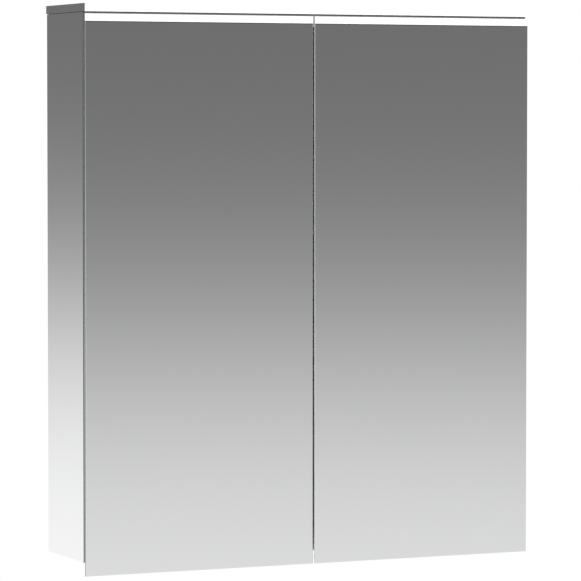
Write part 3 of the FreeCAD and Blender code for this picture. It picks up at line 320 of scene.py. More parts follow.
def float_glass():
    shade = Shade("float_glass", (0.93, 0.985, 0.965), IOR=1.52, Transmission_Weight=1.0)
    across = shade.facing((0.0, 0.0, 1.0))
    flat = shade.above(shade.node("ShaderNodeMath", {0: across}, operation="ABSOLUTE").outputs[0],
                       0.9)
    smear = shade.spread(shade.noise(28.0, detail=4.0), 0.97, 1.0)
    face = shade.blend(smear, (0.90, 0.94, 0.93), (0.965, 0.992, 0.985))
    shade.feed("Base Color", shade.blend(flat, (0.42, 0.74, 0.63), face))
    shade.feed("Roughness", shade.node("ShaderNodeMix", {
        "Factor": flat, 2: 0.06, 3: shade.spread(smear, 0.0, 0.02, 0.97, 1.0)},
        data_type="FLOAT").outputs[0])
    return shade.material


def opal_light(name, strength=1.0, left_edge=GLASS_EDGE_AND_GAP_SHADE):
    """Opal glass lit from behind by evenly spaced chips: it glows forwards, its edges do not; they
    are painted dark, a painted shade of the gaps around the glass.
    """
    lamp = tuple(finishes().lamp)
    shade = Shade(name, (0.80, 0.80, 0.79), Roughness=0.38, Specular_IOR_Level=0.35)
    front = shade.above(shade.facing(TOWARDS_ROOM), 0.5)
    left = shade.above(shade.facing(LEFTWARDS), 0.5)
    along = shade.node("ShaderNodeSeparateXYZ", {0: shade.place()}).outputs[0]
    turns = shade.product(along, 2 * math.pi / CHIP_PITCH)
    wave = shade.node("ShaderNodeMath", {0: turns}, operation="SINE").outputs[0]
    shade.feed("Emission Color", shade.blend(shade.spread(wave, 0.0, 1.0, -1.0, 1.0),
                                             tint(lamp, 0.975), lamp))
    shade.feed("Emission Strength", shade.product(front, finishes().glow * strength))
    speck = shade.spread(shade.noise(500.0), 0.0, 1.0)
    # Edges: the dark pair is painted shade of the gaps around the opal glass; a light left pair is
    # a painted highlight, as if light from the left fell on that edge.
    edge = shade.blend(left, shade.blend(speck, *GLASS_EDGE_AND_GAP_SHADE), shade.blend(speck, *left_edge))
    face = shade.blend(speck, (0.78, 0.78, 0.77), (0.82, 0.82, 0.81))
    shade.feed("Base Color", shade.blend(front, edge, face))
    shade.bump(shade.noise(2600.0, detail=1.0), 0.05, 0.0001)
    return shade.material


def drawn_metal(name, colour, rough, stretch, scratch=0.10, fine=420.0):
    """Metal with fine lines along the axis whose stretch is small."""
    shade = Shade(name, colour, Metallic=1.0)
    lines = shade.noise(fine, stretch, detail=4.0, roughness=0.62)
    shade.feed("Base Color", shade.blend(shade.spread(lines, 0.0, 1.0), tint(colour, 0.95),
                                         tint(colour, 1.03)))
    shade.feed("Roughness", shade.spread(lines, rough * 0.8, rough * 1.25))
    shade.bump(lines, scratch, 0.0001)
    return shade.material


def zinc_plate():
    """Zinc-plated sheet: faint spangle with a dull bloom."""
    shade = Shade("zinc_plate", (0.62, 0.63, 0.64), Metallic=1.0)
    spangle = shade.cells(160.0)["Color"]
    grey = shade.node("ShaderNodeRGBToBW", {0: spangle}).outputs[0]
    shade.feed("Base Color", shade.blend(grey, (0.56, 0.57, 0.59), (0.69, 0.70, 0.70)))
    bloom = shade.noise(45.0, detail=5.0)
    shade.feed("Roughness", shade.spread(bloom, 0.26, 0.42))
    shade.bump(shade.noise(700.0), 0.12, 0.0002)
    return shade.material


def moulded(name, colour, rough=0.34, texture=1500.0, depth=0.10):
    """Injection-moulded plastic with a fine spark-eroded texture."""
    shade = Shade(name, colour)
    broad = shade.noise(22.0, detail=3.0)
    shade.feed("Base Color", shade.blend(shade.spread(broad, 0.0, 1.0), tint(colour, 0.965),
                                         tint(colour, 1.02)))
    shade.feed("Roughness", shade.spread(shade.noise(90.0), rough * 0.88, rough * 1.12))
    shade.bump(shade.cells(texture)["Distance"], depth, 0.0002)
    return shade.material


def circuit_board():
    """White solder mask with slightly raised copper runs."""
    shade = Shade("solder_mask", (0.78, 0.79, 0.78))
    runs = shade.node("ShaderNodeTexWave", {
        "Vector": shade.place((0.02, 1.0, 1.0)), "Scale": 260.0, "Distortion": 1.5},
        bands_direction="Z").outputs["Fac"]
    shade.feed("Base Color", shade.blend(shade.spread(runs, 0.0, 1.0, 0.4, 0.6),
                                         (0.72, 0.73, 0.71), (0.80, 0.81, 0.80)))
    shade.feed("Roughness", shade.spread(runs, 0.30, 0.40))
    shade.bump(runs, 0.2, 0.0001)
    return shade.material


def phosphor():
    shade = Shade("phosphor_lens", (0.90, 0.72, 0.16), Roughness=0.18, Coat_Weight=0.6)
    grain = shade.noise(4000.0)
    shade.feed("Base Color", shade.blend(shade.spread(grain, 0.0, 1.0), (0.84, 0.62, 0.10),
                                         (0.93, 0.78, 0.24)))
    return shade.material


def rubber_jacket():
    shade = Shade("cable_jacket", (0.020, 0.020, 0.022), Specular_IOR_Level=0.35)
    scuff = shade.noise(220.0, detail=4.0)
    shade.feed("Base Color", shade.blend(shade.spread(scuff, 0.0, 1.0), (0.016, 0.016, 0.018),
                                         (0.034, 0.034, 0.036)))
    shade.feed("Roughness", shade.spread(scuff, 0.45, 0.62))
    shade.bump(shade.noise(1800.0), 0.08, 0.0001)
    return shade.material


def closed_cell_foam():
    shade = Shade("closed_cell_foam", (0.03, 0.03, 0.03), Roughness=0.85)
    pores = shade.cells(1300.0)["Distance"]
    shade.feed("Base Color", shade.blend(shade.spread(pores, 0.0, 1.0, 0.1, 0.6),
                                         (0.018, 0.018, 0.019), (0.045, 0.045, 0.046)))
    shade.bump(pores, 0.5, 0.0003)
    return shade.material


def soft_elastomer():
    shade = Shade("clear_elastomer", (0.86, 0.88, 0.88), Transmission_Weight=0.55, IOR=1.43)
    cloud = shade.noise(380.0, detail=3.0)
    shade.feed("Roughness", shade.spread(cloud, 0.22, 0.34))
    shade.feed("Base Color", shade.blend(shade.spread(cloud, 0.0, 1.0), (0.82, 0.84, 0.84),
                                         (0.90, 0.92, 0.92)))
    return shade.material


def studio_paper():
    shade = Shade("studio_floor", (0.90, 0.90, 0.90), Roughness=0.9)
    shade.feed("Base Color", shade.blend(shade.spread(shade.noise(3.0, detail=5.0), 0.0, 1.0),
                                         (0.895, 0.895, 0.895), (0.91, 0.91, 0.91)))
    return shade.material


# ------------------------------------------------------------------ dressing the CAD solids
WELD_REACH = 0.002 * MM
FLAT_WITHIN = math.radians(1.0)
EDGE_BEYOND = math.radians(50.0)


def dress(name, material, soften=True):
    """Give a CAD solid its finish, and a small rounding of its sharp edges."""
    piece = NODES[name]
    piece.data.materials.clear()
    piece.data.materials.append(material)
    for polygon in piece.data.polygons:
        polygon.material_index = 0
    if soften and sizes().edge > 0:
        weld = piece.modifiers.new("weld", "WELD")
        weld.merge_threshold = WELD_REACH
        flat = piece.modifiers.new("flats", "DECIMATE")
        flat.decimate_type = "DISSOLVE"
        flat.angle_limit = FLAT_WITHIN
        rounding = piece.modifiers.new("rounding", "BEVEL")
        rounding.width = sizes().edge
        rounding.segments = 2
        rounding.limit_method = "ANGLE"
        rounding.angle_limit = EDGE_BEYOND
        rounding.harden_normals = True
    return piece


def solids_of(name):
    """Lowest and highest corner of each separate solid of a CAD node, in a steady order."""
    mesh = NODES[name].data
    keys = {}
    places = []
    for vertex in mesh.vertices:
        key = tuple(round(c, 6) for c in vertex.co)
        places.append(keys.setdefault(key, len(keys)))
    links = list(range(len(keys)))

    def root(i):
        while links[i] != i:
            links[i] = links[links[i]]
            i = links[i]
        return i

    for polygon in mesh.polygons:
        first = root(places[polygon.vertices[0]])
        for corner in polygon.vertices[1:]:
            links[root(places[corner])] = first
    groups = {}
    for vertex, place in zip(mesh.vertices, places):
        groups.setdefault(root(place), []).append(vertex.co)
    boxes = []
    for points in groups.values():
        low = Vector(min(p[i] for p in points) for i in range(3))
        high = Vector(max(p[i] for p in points) for i in range(3))
        boxes.append((low, high))
    return sorted(boxes, key=lambda box: tuple(round(c, 4) for c in box[0]))


# ------------------------------------------------------------------ shapes of the fittings
def cross(reach, width):
    """Radius around a cross recess at an angle."""
    def radius(angle):
        c = abs(math.cos(angle)) + 1e-9
        s = abs(math.sin(angle)) + 1e-9
        return max(min(reach / c, width / s), min(width / c, reach / s))
    return radius


def nut(flats, sides=6):
    """Radius around a nut with that distance from its axis to each flat."""
    def radius(angle):
        part = math.pi / sides
        return flats / math.cos((angle + part) % (2 * part) - part)
    return radius


def turn(mesh, start, axis, rings, sides=48, closed=False, slots=None):
    """Loft loops about an axis from (height, radius) pairs; a radius may be a function."""
    axis = Vector(axis).normalized()
    across = axis.orthogonal().normalized()
    if abs(axis.z) < 0.5:
        across = Vector((0.0, 0.0, 1.0))
    upward = axis.cross(across)
    loops = []
    for height, radius in rings:
        loop = []
        for index in range(sides):
            angle = 2 * math.pi * index / sides
            reach = radius(angle) if callable(radius) else radius
            point = across * (math.cos(angle) * reach) + upward * (math.sin(angle) * reach)
            loop.append(mesh.verts.new(Vector(start) + axis * height + point))
        loops.append(loop)
    pairs = list(zip(loops, loops[1:]))
    if closed:
        pairs.append((loops[-1], loops[0]))
    for row, (low, high) in enumerate(pairs):
        for i in range(sides):
            j = (i + 1) % sides
            face = mesh.faces.new((low[i], low[j], high[j], high[i]))
            face.smooth = True
            face.material_index = slots[row] if slots else 0
    if not closed:
        mesh.faces.new(list(reversed(loops[0]))).material_index = slots[0] if slots else 0
        mesh.faces.new(loops[-1]).material_index = slots[-1] if slots else 0


def brick(mesh, low, high, rounding=0.0, segments=2, slot=0):
    """A box with rounded edges, added to the mesh."""
    low = Vector(low)
    high = Vector(high)
    matrix = Matrix.Translation((low + high) / 2) @ Matrix.Diagonal((*(high - low), 1.0))
    made = bmesh.ops.create_cube(mesh, size=1.0, matrix=matrix)
    faces = {face for vert in made["verts"] for face in vert.link_faces}
    for face in faces:
        face.material_index = slot
    if rounding:
        edges = list({edge for vert in made["verts"] for edge in vert.link_edges})
        bmesh.ops.bevel(mesh, geom=edges, offset=rounding, segments=segments, profile=0.5,
                        affect="EDGES", clamp_overlap=True)


def finish_piece(name, mesh, materials, body, stands_for=(), smooth=35.0):
    """Turn a bmesh into a piece that rides on a body and stands for CAD nodes."""
    bmesh.ops.recalc_face_normals(mesh, faces=mesh.faces)
    data = bpy.data.meshes.new(name)
    mesh.to_mesh(data)
    mesh.free()
    for material in materials:
        data.materials.append(material)
    for face in data.polygons:
        face.use_smooth = True
    data.set_sharp_from_angle(angle=math.radians(smooth))
    piece = bpy.data.objects.new(name, data)
    bpy.context.scene.collection.objects.link(piece)
    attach(piece, body)
    if stands_for:
        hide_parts(*stands_for)
    return piece


def long_axis(low, high):
    size = high - low
    return max(range(3), key=lambda i: size[i])


POINT = 1.6 * MM
THREAD_PITCH = 1.1 * MM
THREAD_ROOT = 0.82
FULL_RECESS_HEAD = 3.4 * MM


def pan_head(mesh, tip, axis, shank, length, head, rise):
    """Pan-head screw: the head's seat is at `length` from the tip, along the axis."""
    reach = sizes().recess * min(1.0, head / FULL_RECESS_HEAD)
    arm = reach * 0.30
    rings = [(0.0, shank * 0.3), (POINT, shank)]
    threads = int((length - 2 * THREAD_PITCH) / THREAD_PITCH)
    for index in range(max(threads, 0)):
        base = POINT + 0.2 * MM + index * THREAD_PITCH
        rings += [(base, shank), (base + 0.4 * MM, shank * THREAD_ROOT),
                  (base + 0.7 * MM, shank * THREAD_ROOT)]
    rings += [(length, shank), (length, head), (length + rise * 0.35, head),
              (length + rise * 0.72, head * 0.93), (length + rise * 0.94, head * 0.72),
              (length + rise, cross(reach * 1.05, arm * 1.08)),
              (length + rise * 0.96, cross(reach, arm)),
              (length + rise * 0.35, cross(reach * 0.62, arm * 0.7))]
    turn(mesh, tip, axis, rings)


# ------------------------------------------------------------------ operators, one per group
class MIRRORCABINET_OT_mirrors(bpy.types.Operator):
    """Silver the door, rear, side and back mirrors, with ground edges and painted backing; the
    doors' left bevels and the right door's left edge carry a painted highlight
    """
    bl_idname = "mirrorcabinet.mirrors"
    bl_label = "Mirrors"

    def execute(self, context):
        inward = silvered_pane("rear_silver", TOWARDS_WALL)
        bond = closed_cell_foam()
        # The right door's left edge takes the light pair, a painted highlight as if light from the
        # left fell on it.
        for side, edge in (("left", GLASS_EDGE_AND_GAP_SHADE), ("right", PAINTED_HIGHLIGHT_EDGE)):
            dress(side + "_door_mirror",
                  silvered_pane(side + "_door_silver", TOWARDS_ROOM, left_edge=edge),
                  soften=False)
            dress(side + "_door_rear_mirror", inward, soften=False)
            dress(side + "_door_bond", bond, soften=False)
        for side, way in (("left", -1.0), ("right", 1.0)):
            dress(side + "_side_mirror",
                  silvered_pane(side + "_silver", (way, 0.0, 0.0), SEAMED_EDGE), soften=False)
        dress("back_mirror", silvered_pane("back_silver", TOWARDS_ROOM), soften=False)
        return {"FINISHED"}


class MIRRORCABINET_OT_boards(bpy.types.Operator):
    """Lacquer the boards of the carcass and paint its back panel"""
    bl_idname = "mirrorcabinet.boards"
    bl_label = "Boards"

    def execute(self, context):
        lacquer = lacquered_board()
        for name in ("left_side_panel", "right_side_panel", "bottom_panel", "top_panel"):
            dress(name, lacquer)
        dress("back_panel", back_board())
        return {"FINISHED"}


class MIRRORCABINET_OT_light_slab(bpy.types.Operator):
    """Finish the light slab, the light channel and the satin strips of the doors"""
    bl_idname = "mirrorcabinet.light_slab"
    bl_label = "Light slab and channel"

    def execute(self, context):
        extruded = drawn_metal("polished_extrusion", (0.80, 0.81, 0.82), 0.11,
                               (0.04, 1.0, 1.0))
        end = drawn_metal("polished_end", tuple(finishes().aluminium), 0.06, (1.0, 0.05, 1.0),
                          0.03)
        for name in ("slab_housing", "light_channel"):
            dress(name, extruded, soften=False)
        # The right strip's left edge takes the light pair, a painted highlight as if light from
        # the left fell on it; the other strip edges keep the dark pair, painted shade of the gaps.
        for side, edge in (("left", GLASS_EDGE_AND_GAP_SHADE), ("right", PAINTED_HIGHLIGHT_EDGE)):
            dress("slab_end_plate_" + side, end, soften=False)
            dress(side + "_door_light_strip", opal_light(side + "_satin_strip", 0.92, edge),
                  soften=False)
        dress("slab_diffuser", opal_light("slab_opal"), soften=False)
        dress("channel_diffuser", opal_light("channel_opal"), soften=False)
        board = circuit_board()
        dress("slab_led_board", board, soften=False)
        dress("channel_led_board", board, soften=False)
        dress("slab_gasket", closed_cell_foam(), soften=False)
        return {"FINISHED"}


class MIRRORCABINET_OT_led_chips(bpy.types.Operator):
    """Make each light-emitting chip as a white package with a domed phosphor lens"""
    bl_idname = "mirrorcabinet.led_chips"
    bl_label = "LED chips"

    def execute(self, context):
        mesh = bmesh.new()
        for low, high in solids_of("led_chips"):
            middle = (low + high) / 2
            brick(mesh, (low.x, low.y + 0.25 * MM, low.z), high, 0.15 * MM, 1)
            dome = 0.3 * MM
            turn(mesh, (middle.x, low.y + dome, middle.z), TOWARDS_ROOM,
                 [(0.0, 1.15 * MM), (0.4 * dome, 1.05 * MM), (0.8 * dome, 0.75 * MM),
                  (dome, 0.25 * MM)], sides=16, slots=[1, 1, 1])
        finish_piece("led_packages", mesh, [moulded("chip_package", (0.85, 0.85, 0.84)),
                                            phosphor()], "cabinet",
                     ["led_chips"])
        return {"FINISHED"}


class MIRRORCABINET_OT_shelves(bpy.types.Operator):
    """Glass shelves, and their turned pins with a flange and a relieved tip"""
    bl_idname = "mirrorcabinet.shelves"
    bl_label = "Shelves and pins"

    def execute(self, context):
        glass = float_glass()
        for level in ("lower", "middle", "upper"):
            dress("glass_shelf_" + level, glass, soften=False)
        mesh = bmesh.new()
        for low, high in solids_of("shelf_pins"):
            middle = (low + high) / 2
            length = high.x - low.x
            way = 1.0 if middle.x < 0 else -1.0
            start = (low.x if way > 0 else high.x, middle.y, middle.z)
            r = 2.5 * MM
            flange = 4.5 * MM
            turn(mesh, start, (way, 0, 0), [
                (0.0, r * 0.78), (0.5 * MM, r), (8.4 * MM, r), (8.7 * MM, r * 0.9), (9.0 * MM, r),
                (9.0 * MM, flange - 0.3 * MM), (9.25 * MM, flange), (10.2 * MM, flange),
                (10.5 * MM, flange - 0.3 * MM), (10.5 * MM, r + 0.2 * MM), (10.8 * MM, r),
                (length - 1.6 * MM, r), (length - 1.3 * MM, r * 0.88),
                (length - 1.0 * MM, r), (length - 0.5 * MM, r), (length, r * 0.7)])
        nickel = drawn_metal("nickel_turned", (0.70, 0.68, 0.65), 0.16, (1.0, 1.0, 1.0), 0.05)
        finish_piece("turned_shelf_pins", mesh, [nickel], "cabinet", ["shelf_pins"])
        return {"FINISHED"}


class MIRRORCABINET_OT_hinges(bpy.types.Operator):
    """Hinge stiles, pivot blocks, lower brackets and turned pivot pins"""
    bl_idname = "mirrorcabinet.hinges"
    bl_label = "Pivot hinges"

    def execute(self, context):
        satin = drawn_metal("satin_profile", tuple(finishes().aluminium), 0.14,
                            (1.0, 1.0, 0.04), 0.04)
        zinc = zinc_plate()
        for side in ("left", "right"):
            dress(side + "_hinge_stile", satin, soften=False)
            dress(side + "_upper_pivot_block", satin, soften=False)
            dress(side + "_lower_pivot_bracket", zinc, soften=False)
        mesh = bmesh.new()
        for low, high in solids_of("pivot_pins"):
            middle = (low + high) / 2
            length = high.z - low.z
            r = 1.5 * MM
            turn(mesh, (middle.x, middle.y, low.z), (0, 0, 1), [
                (0.0, r * 0.8), (0.3 * MM, r), (length * 0.4, r),
                (length - 0.4 * MM, r), (length, r * 0.75)], sides=32)
        finish_piece("turned_pivot_pins", mesh,
                     [drawn_metal("pivot_steel", (0.66, 0.66, 0.66), 0.18, (1.0, 1.0, 0.1))],
                     "cabinet", ["pivot_pins"])
        return {"FINISHED"}


class MIRRORCABINET_OT_screws(bpy.types.Operator):
    """Pan-head screws with threads and cross recesses"""
    bl_idname = "mirrorcabinet.screws"
    bl_label = "Screws"

    def execute(self, context):
        zinc = drawn_metal("zinc_screw", (0.60, 0.60, 0.60), 0.28, (1.0, 1.0, 1.0))
        # Name, CAD node, and in millimetres the shank's and head's radius and the head's height.
        groups = (("bracket_and_cleat_screws", "short_screws", 1.75, 3.4, 1.8),
                  ("slab_pan_screws", "slab_screws", 2.0, 4.0, 2.4),
                  ("carcass_pan_screws", "carcass_screws", 2.5, 3.5, 3.0))
        for name, node, shank, head, rise in groups:
            mesh = bmesh.new()
            for low, high in solids_of(node):
                middle = (low + high) / 2
                along = long_axis(low, high)
                axis = Vector((0.0, 0.0, 0.0))
                axis[along] = -1.0
                if along == 1 or (along == 0 and middle.x > 0):
                    axis[along] = 1.0
                tip = middle.copy()
                tip[along] = low[along] if axis[along] > 0 else high[along]
                length = high[along] - low[along] - rise * MM
                pan_head(mesh, tip, axis, shank * MM, length, head * MM, rise * MM)
            finish_piece(name, mesh, [zinc], "cabinet", [node])
        return {"FINISHED"}


class MIRRORCABINET_OT_catches(bpy.types.Operator):
    """Catch magnets in their cups, the strikes and the clear buffers"""
    bl_idname = "mirrorcabinet.catches"
    bl_label = "Catches and buffers"

    def execute(self, context):
        nickel = drawn_metal("nickel_plate", (0.70, 0.68, 0.65), 0.14, (1.0, 1.0, 1.0), 0.04)
        mesh = bmesh.new()
        for low, high in solids_of("catch_magnets"):
            middle = (low + high) / 2
            length = high.y - low.y
            turn(mesh, (middle.x, high.y, middle.z), TOWARDS_ROOM, [
                (0.0, 3.7 * MM), (0.4 * MM, 4.0 * MM), (length - 0.2 * MM, 4.0 * MM),
                (length, 3.8 * MM), (length, 3.2 * MM), (length - 0.5 * MM, 3.1 * MM),
                (length - 0.5 * MM, 2.75 * MM), (length - 0.1 * MM, 2.7 * MM),
                (length - 0.05 * MM, 2.4 * MM)], slots=[0, 0, 0, 0, 0, 1, 0, 0])
        finish_piece("cup_magnets", mesh, [nickel, rubber_jacket()], "cabinet",
                     ["catch_magnets"])
        for side in ("left", "right"):
            dress(side + "_door_strike", nickel, soften=False)
        elastomer = soft_elastomer()
        for name, node, way in (("domed_door_buffers", "door_buffers", -1),
                                ("domed_wall_buffers", "wall_buffers", 1)):
            mesh = bmesh.new()
            for low, high in solids_of(node):
                middle = (low + high) / 2
                rise = high.y - low.y
                r = (high.x - low.x) / 2
                start = (middle.x, high.y if way < 0 else low.y, middle.z)
                turn(mesh, start, (0, way, 0), [
                    (0.0, r), (rise * 0.3, r), (rise * 0.62, r * 0.93), (rise * 0.84, r * 0.78),
                    (rise * 0.96, r * 0.5), (rise, r * 0.18)])
            finish_piece(name, mesh, [elastomer], "cabinet", [node])
        return {"FINISHED"}


class MIRRORCABINET_OT_hanging(bpy.types.Operator):
    """Zinc-plated wall rail and cleat"""
    bl_idname = "mirrorcabinet.hanging"
    bl_label = "Rail and cleat"

    def execute(self, context):
        zinc = zinc_plate()
        for name in ("wall_rail", "cabinet_cleat"):
            dress(name, zinc)
        return {"FINISHED"}


LID_SHARE = 0.62
LID_JOINT = 0.5 * MM
LID_INSET = 0.7 * MM
CAP_DEPTH = 1.2 * MM
RIB_MARGIN = 32 * MM
RIB_HALF_WIDTH = 0.9 * MM
RIB_END = 6 * MM
CASE_SCREW_INSET = 5.5 * MM


class MIRRORCABINET_OT_electrics(bpy.types.Operator):
    """Driver and terminal box with lids, ribs and screws, the gland and the cables"""
    bl_idname = "mirrorcabinet.electrics"
    bl_label = "Driver and terminals"

    def execute(self, context):
        case = moulded("case_plastic", tuple(finishes().case), 0.45, 900.0, 0.16)
        metal = drawn_metal("terminal_screw", (0.58, 0.58, 0.58), 0.3, (1.0, 1.0, 1.0))
        for node, name, ribs in (("led_driver", "driver_case", 11),
                                 ("terminal_box", "terminal_case", 0)):
            low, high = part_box(node)
            mesh = bmesh.new()
            lid = low.y + (high.y - low.y) * LID_SHARE
            brick(mesh, low, (high.x, lid, high.z), 1.0 * MM)
            brick(mesh, (low.x + LID_INSET, lid - 0.4 * MM, low.z + LID_INSET),
                  (high.x - LID_INSET, lid + LID_JOINT, high.z - LID_INSET), 0.0)
            brick(mesh, (low.x, lid + LID_JOINT, low.z),
                  (high.x, high.y - 0.8 * MM, high.z), 1.2 * MM, 3)
            for index in range(ribs):
                spacing = (high.x - low.x - 2 * RIB_MARGIN) / (ribs - 1)
                x = low.x + RIB_MARGIN + index * spacing
                brick(mesh, (x - RIB_HALF_WIDTH, high.y - CAP_DEPTH, low.z + RIB_END),
                      (x + RIB_HALF_WIDTH, high.y, high.z - RIB_END), 0.35 * MM)
            if not ribs:
                brick(mesh, (low.x + 14 * MM, high.y - CAP_DEPTH, low.z + 11 * MM),
                      (high.x - 14 * MM, high.y - 0.3 * MM, high.z - 11 * MM), 0.4 * MM)
            for x in (low.x + CASE_SCREW_INSET, high.x - CASE_SCREW_INSET):
                for z in (low.z + CASE_SCREW_INSET, high.z - CASE_SCREW_INSET):
                    turn(mesh, (x, high.y - CAP_DEPTH, z), TOWARDS_WALL, [
                        (0.0, 2.6 * MM), (0.9 * MM, 2.6 * MM), (1.15 * MM, 2.2 * MM),
                        (CAP_DEPTH, cross(1.5 * MM, 0.45 * MM)),
                        (0.5 * MM, cross(1.2 * MM, 0.36 * MM))], slots=[1, 1, 1, 1])
            finish_piece(name, mesh, [case, metal], "cabinet", [node])
        low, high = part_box("mains_gland")
        middle = (low + high) / 2
        r = (high.x - low.x) / 2
        length = high.z - low.z
        bore = 4.5 * MM
        mesh = bmesh.new()
        turn(mesh, (middle.x, middle.y, high.z), (0, 0, -1), [
            (0.0, r * 0.98), (0.3 * MM, nut(r * 0.86)), (4.2 * MM, nut(r * 0.86)),
            (4.5 * MM, r * 0.84), (5.2 * MM, r * 0.84), (5.4 * MM, nut(r * 0.92, 12)),
            (10.2 * MM, nut(r * 0.92, 12)), (11.6 * MM, r * 0.88),
            (length - 0.6 * MM, bore + 0.9 * MM), (length, bore + 0.5 * MM), (length, bore),
            (0.0, bore)], closed=True, sides=72)
        finish_piece("gland_with_dome_nut", mesh, [case], "cabinet",
                     ["mains_gland"])
        jacket = rubber_jacket()
        for name in ("led_lead", "driver_lead", "socket_lead"):
            dress(name, jacket, soften=False)
        return {"FINISHED"}


class MIRRORCABINET_OT_socket_unit(bpy.types.Operator):
    """Socket and switch unit: housing, face plate, plug recess, contacts, rocker and its pin"""
    bl_idname = "mirrorcabinet.socket_unit"
    bl_label = "Socket and switch unit"

    def execute(self, context):
        plastic = moulded("unit_plastic", tuple(finishes().plastic), 0.30)
        for name in ("power_housing", "power_face_plate", "switch_rocker"):
            dress(name, plastic)
        dress("socket_cup", plastic, soften=False)
        dress("socket_contacts", drawn_metal("contact_brass", (0.72, 0.52, 0.22), 0.2,
                                             (1.0, 0.1, 1.0)), soften=False)
        dress("switch_pin", drawn_metal("switch_steel", (0.66, 0.66, 0.66), 0.2,
                                        (0.1, 1.0, 1.0)), soften=False)
        return {"FINISHED"}


# ------------------------------------------------------------------ studio
# What the mirrors see, towards the room and away from it: darkest and lightest tone, and the
# height of direction and the softness with which one turns into the other.
ROOM_SWEEP = (0.166, 0.871, -0.0736, 0.0248)
WALL_SWEEP = (0.1635, 1.065, -0.0616, 0.0225)
SWEEP_LOW = -0.20
SWEEP_HIGH = 0.06
SWEEP_STOPS = 28


def sweep_tone(height, darkest, lightest, middle, softness):
    return darkest + (lightest - darkest) / (1.0 + math.exp((height - middle) / softness))


def studio_world():
    """White backdrop, an even fill, and a sweep from dark above to light below in reflections."""
    world = bpy.data.worlds.new("studio")
    world.use_nodes = True
    tree = world.node_tree
    tree.nodes.clear()

    def node(kind, **inputs):
        made = tree.nodes.new(kind)
        for key, value in inputs.items():
            socket = made.inputs[int(key[1:])]
            if isinstance(value, bpy.types.NodeSocket):
                tree.links.new(value, socket)
            else:
                socket.default_value = value
        return made

    direction = node("ShaderNodeTexCoord").outputs["Generated"]
    parts = node("ShaderNodeSeparateXYZ", i0=direction).outputs
    height = node("ShaderNodeMapRange", i0=parts[2], i1=SWEEP_LOW, i2=SWEEP_HIGH).outputs[0]
    ramps = []
    for tones in (ROOM_SWEEP, WALL_SWEEP):
        ramp = tree.nodes.new("ShaderNodeValToRGB")
        tree.links.new(height, ramp.inputs[0])
        stops = ramp.color_ramp.elements
        stops.remove(stops[-1])
        for index in range(SWEEP_STOPS):
            place = index / (SWEEP_STOPS - 1)
            tone = sweep_tone(SWEEP_LOW + place * (SWEEP_HIGH - SWEEP_LOW), *tones)
            stop = stops.new(place) if index else stops[0]
            stop.color = (tone, tone, tone, 1.0)
        ramps.append(ramp.outputs[0])
    away = node("ShaderNodeMapRange", i0=parts[1], i1=-0.5, i2=0.5).outputs[0]
    sweep = tree.nodes.new("ShaderNodeMix")
    sweep.data_type = "RGBA"
    for socket, value in ((0, away), (FIRST_COLOUR, ramps[0]), (SECOND_COLOUR, ramps[1])):
        tree.links.new(value, sweep.inputs[socket])
    ray = node("ShaderNodeLightPath").outputs
    fill = node("ShaderNodeBackground", i0=(1.0, 1.0, 1.0, 1.0), i1=FILL_TONE)
    mirrored = node("ShaderNodeBackground", i0=sweep.outputs[MIXED_COLOUR], i1=1.0)
    backdrop = node("ShaderNodeBackground", i0=(1.0, 1.0, 1.0, 1.0), i1=1.0)
    inner = node("ShaderNodeMixShader", i0=ray["Is Glossy Ray"], i1=fill.outputs[0],
                 i2=mirrored.outputs[0])
    outer = node("ShaderNodeMixShader", i0=ray["Is Camera Ray"], i1=inner.outputs[0],
                 i2=backdrop.outputs[0])
    node("ShaderNodeOutputWorld", i0=outer.outputs[0])
    bpy.context.scene.world = world


def softbox(name, place, target, size, power):
    lamp = bpy.data.lights.new(name, "AREA")
    lamp.shape = "RECTANGLE"
    lamp.size, lamp.size_y = size
    lamp.energy = power
    lamp.color = SOFTBOX_COLOUR
    box = bpy.data.objects.new(name, lamp)
    box.location = place
    box.rotation_mode = "QUATERNION"
    box.rotation_quaternion = (Vector(target) - Vector(place)).to_track_quat("-Z", "Y")
    box.visible_glossy = False
    bpy.context.scene.collection.objects.link(box)


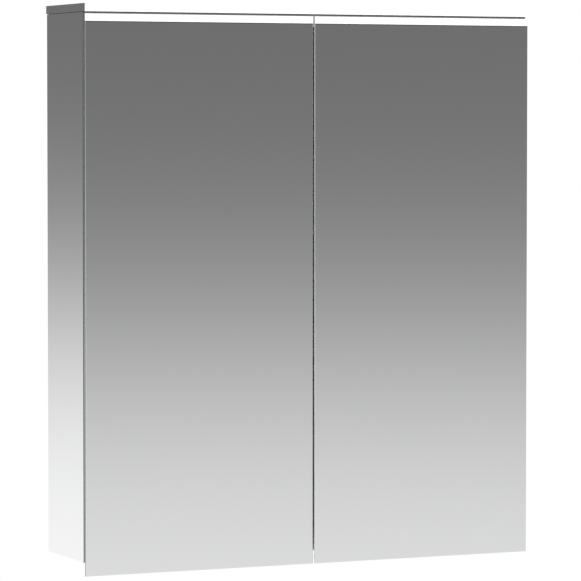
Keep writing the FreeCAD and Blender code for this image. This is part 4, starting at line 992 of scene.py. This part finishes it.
class MIRRORCABINET_OT_stage(bpy.types.Operator):
    """Pale floor, plain soft studio light and the camera"""
    bl_idname = "mirrorcabinet.stage"
    bl_label = "Studio"

    def execute(self, context):
        scene = context.scene
        scene.view_settings.view_transform = "Standard"
        studio_world()
        low, high = CAD_BOX
        middle = (low + high) / 2
        level = low.z - sizes().floor_drop
        mesh = bmesh.new()
        radius = sizes().floor_radius
        bmesh.ops.create_circle(mesh, cap_ends=True, segments=128, radius=radius,
                                matrix=Matrix.Translation((middle.x, middle.y, level)))
        data = bpy.data.meshes.new("studio_floor")
        mesh.to_mesh(data)
        mesh.free()
        data.materials.append(studio_paper())
        floor = bpy.data.objects.new("studio_floor", data)
        scene.collection.objects.link(floor)
        floor.visible_glossy = False
        for name, place, size, power in SOFTBOXES:
            softbox(name, place, middle, size, power)
        lens = bpy.data.cameras.new("camera")
        lens.sensor_width = CAMERA_SENSOR
        lens.lens = CAMERA_LENS
        lens.shift_y = CAMERA_SHIFT
        lens.clip_end = CAMERA_REACH
        camera = bpy.data.objects.new("camera", lens)
        camera.location = CAMERA_PLACE
        camera.rotation_euler = (math.radians(90.0 - CAMERA_DIP), 0.0, math.radians(CAMERA_TURN))
        scene.collection.objects.link(camera)
        scene.camera = camera
        return {"FINISHED"}


BUILD_ORDER = (
    MIRRORCABINET_OT_stage, MIRRORCABINET_OT_mirrors, MIRRORCABINET_OT_boards,
    MIRRORCABINET_OT_light_slab, MIRRORCABINET_OT_led_chips, MIRRORCABINET_OT_shelves,
    MIRRORCABINET_OT_hinges, MIRRORCABINET_OT_screws, MIRRORCABINET_OT_catches,
    MIRRORCABINET_OT_hanging, MIRRORCABINET_OT_electrics, MIRRORCABINET_OT_socket_unit,
)


class MIRRORCABINET_PT_panel(bpy.types.Panel):
    """Settings and pieces of the mirror cabinet"""
    bl_idname = "MIRRORCABINET_PT_panel"
    bl_label = "Mirror Cabinet"
    bl_space_type = "VIEW_3D"
    bl_region_type = "UI"
    bl_category = "Mirror Cabinet"

    def draw(self, context):
        for group in (context.scene.cabinet_finish, context.scene.cabinet_size):
            box = self.layout.box()
            for key in group.__annotations__:
                box.prop(group, key)
        column = self.layout.column(align=True)
        for operator in BUILD_ORDER:
            column.operator(operator.bl_idname)


CLASSES = (CabinetFinishSettings, CabinetSizeSettings, *BUILD_ORDER, MIRRORCABINET_PT_panel)


def register():
    for cls in CLASSES:
        bpy.utils.register_class(cls)
    bpy.types.Scene.cabinet_finish = bpy.props.PointerProperty(type=CabinetFinishSettings)
    bpy.types.Scene.cabinet_size = bpy.props.PointerProperty(type=CabinetSizeSettings)


def unregister():
    del bpy.types.Scene.cabinet_size
    del bpy.types.Scene.cabinet_finish
    for cls in reversed(CLASSES):
        bpy.utils.unregister_class(cls)


def main():
    register()
    for operator in BUILD_ORDER:
        group, name = operator.bl_idname.split(".")
        getattr(getattr(bpy.ops, group), name)()


if __name__ == "__main__":
    main()
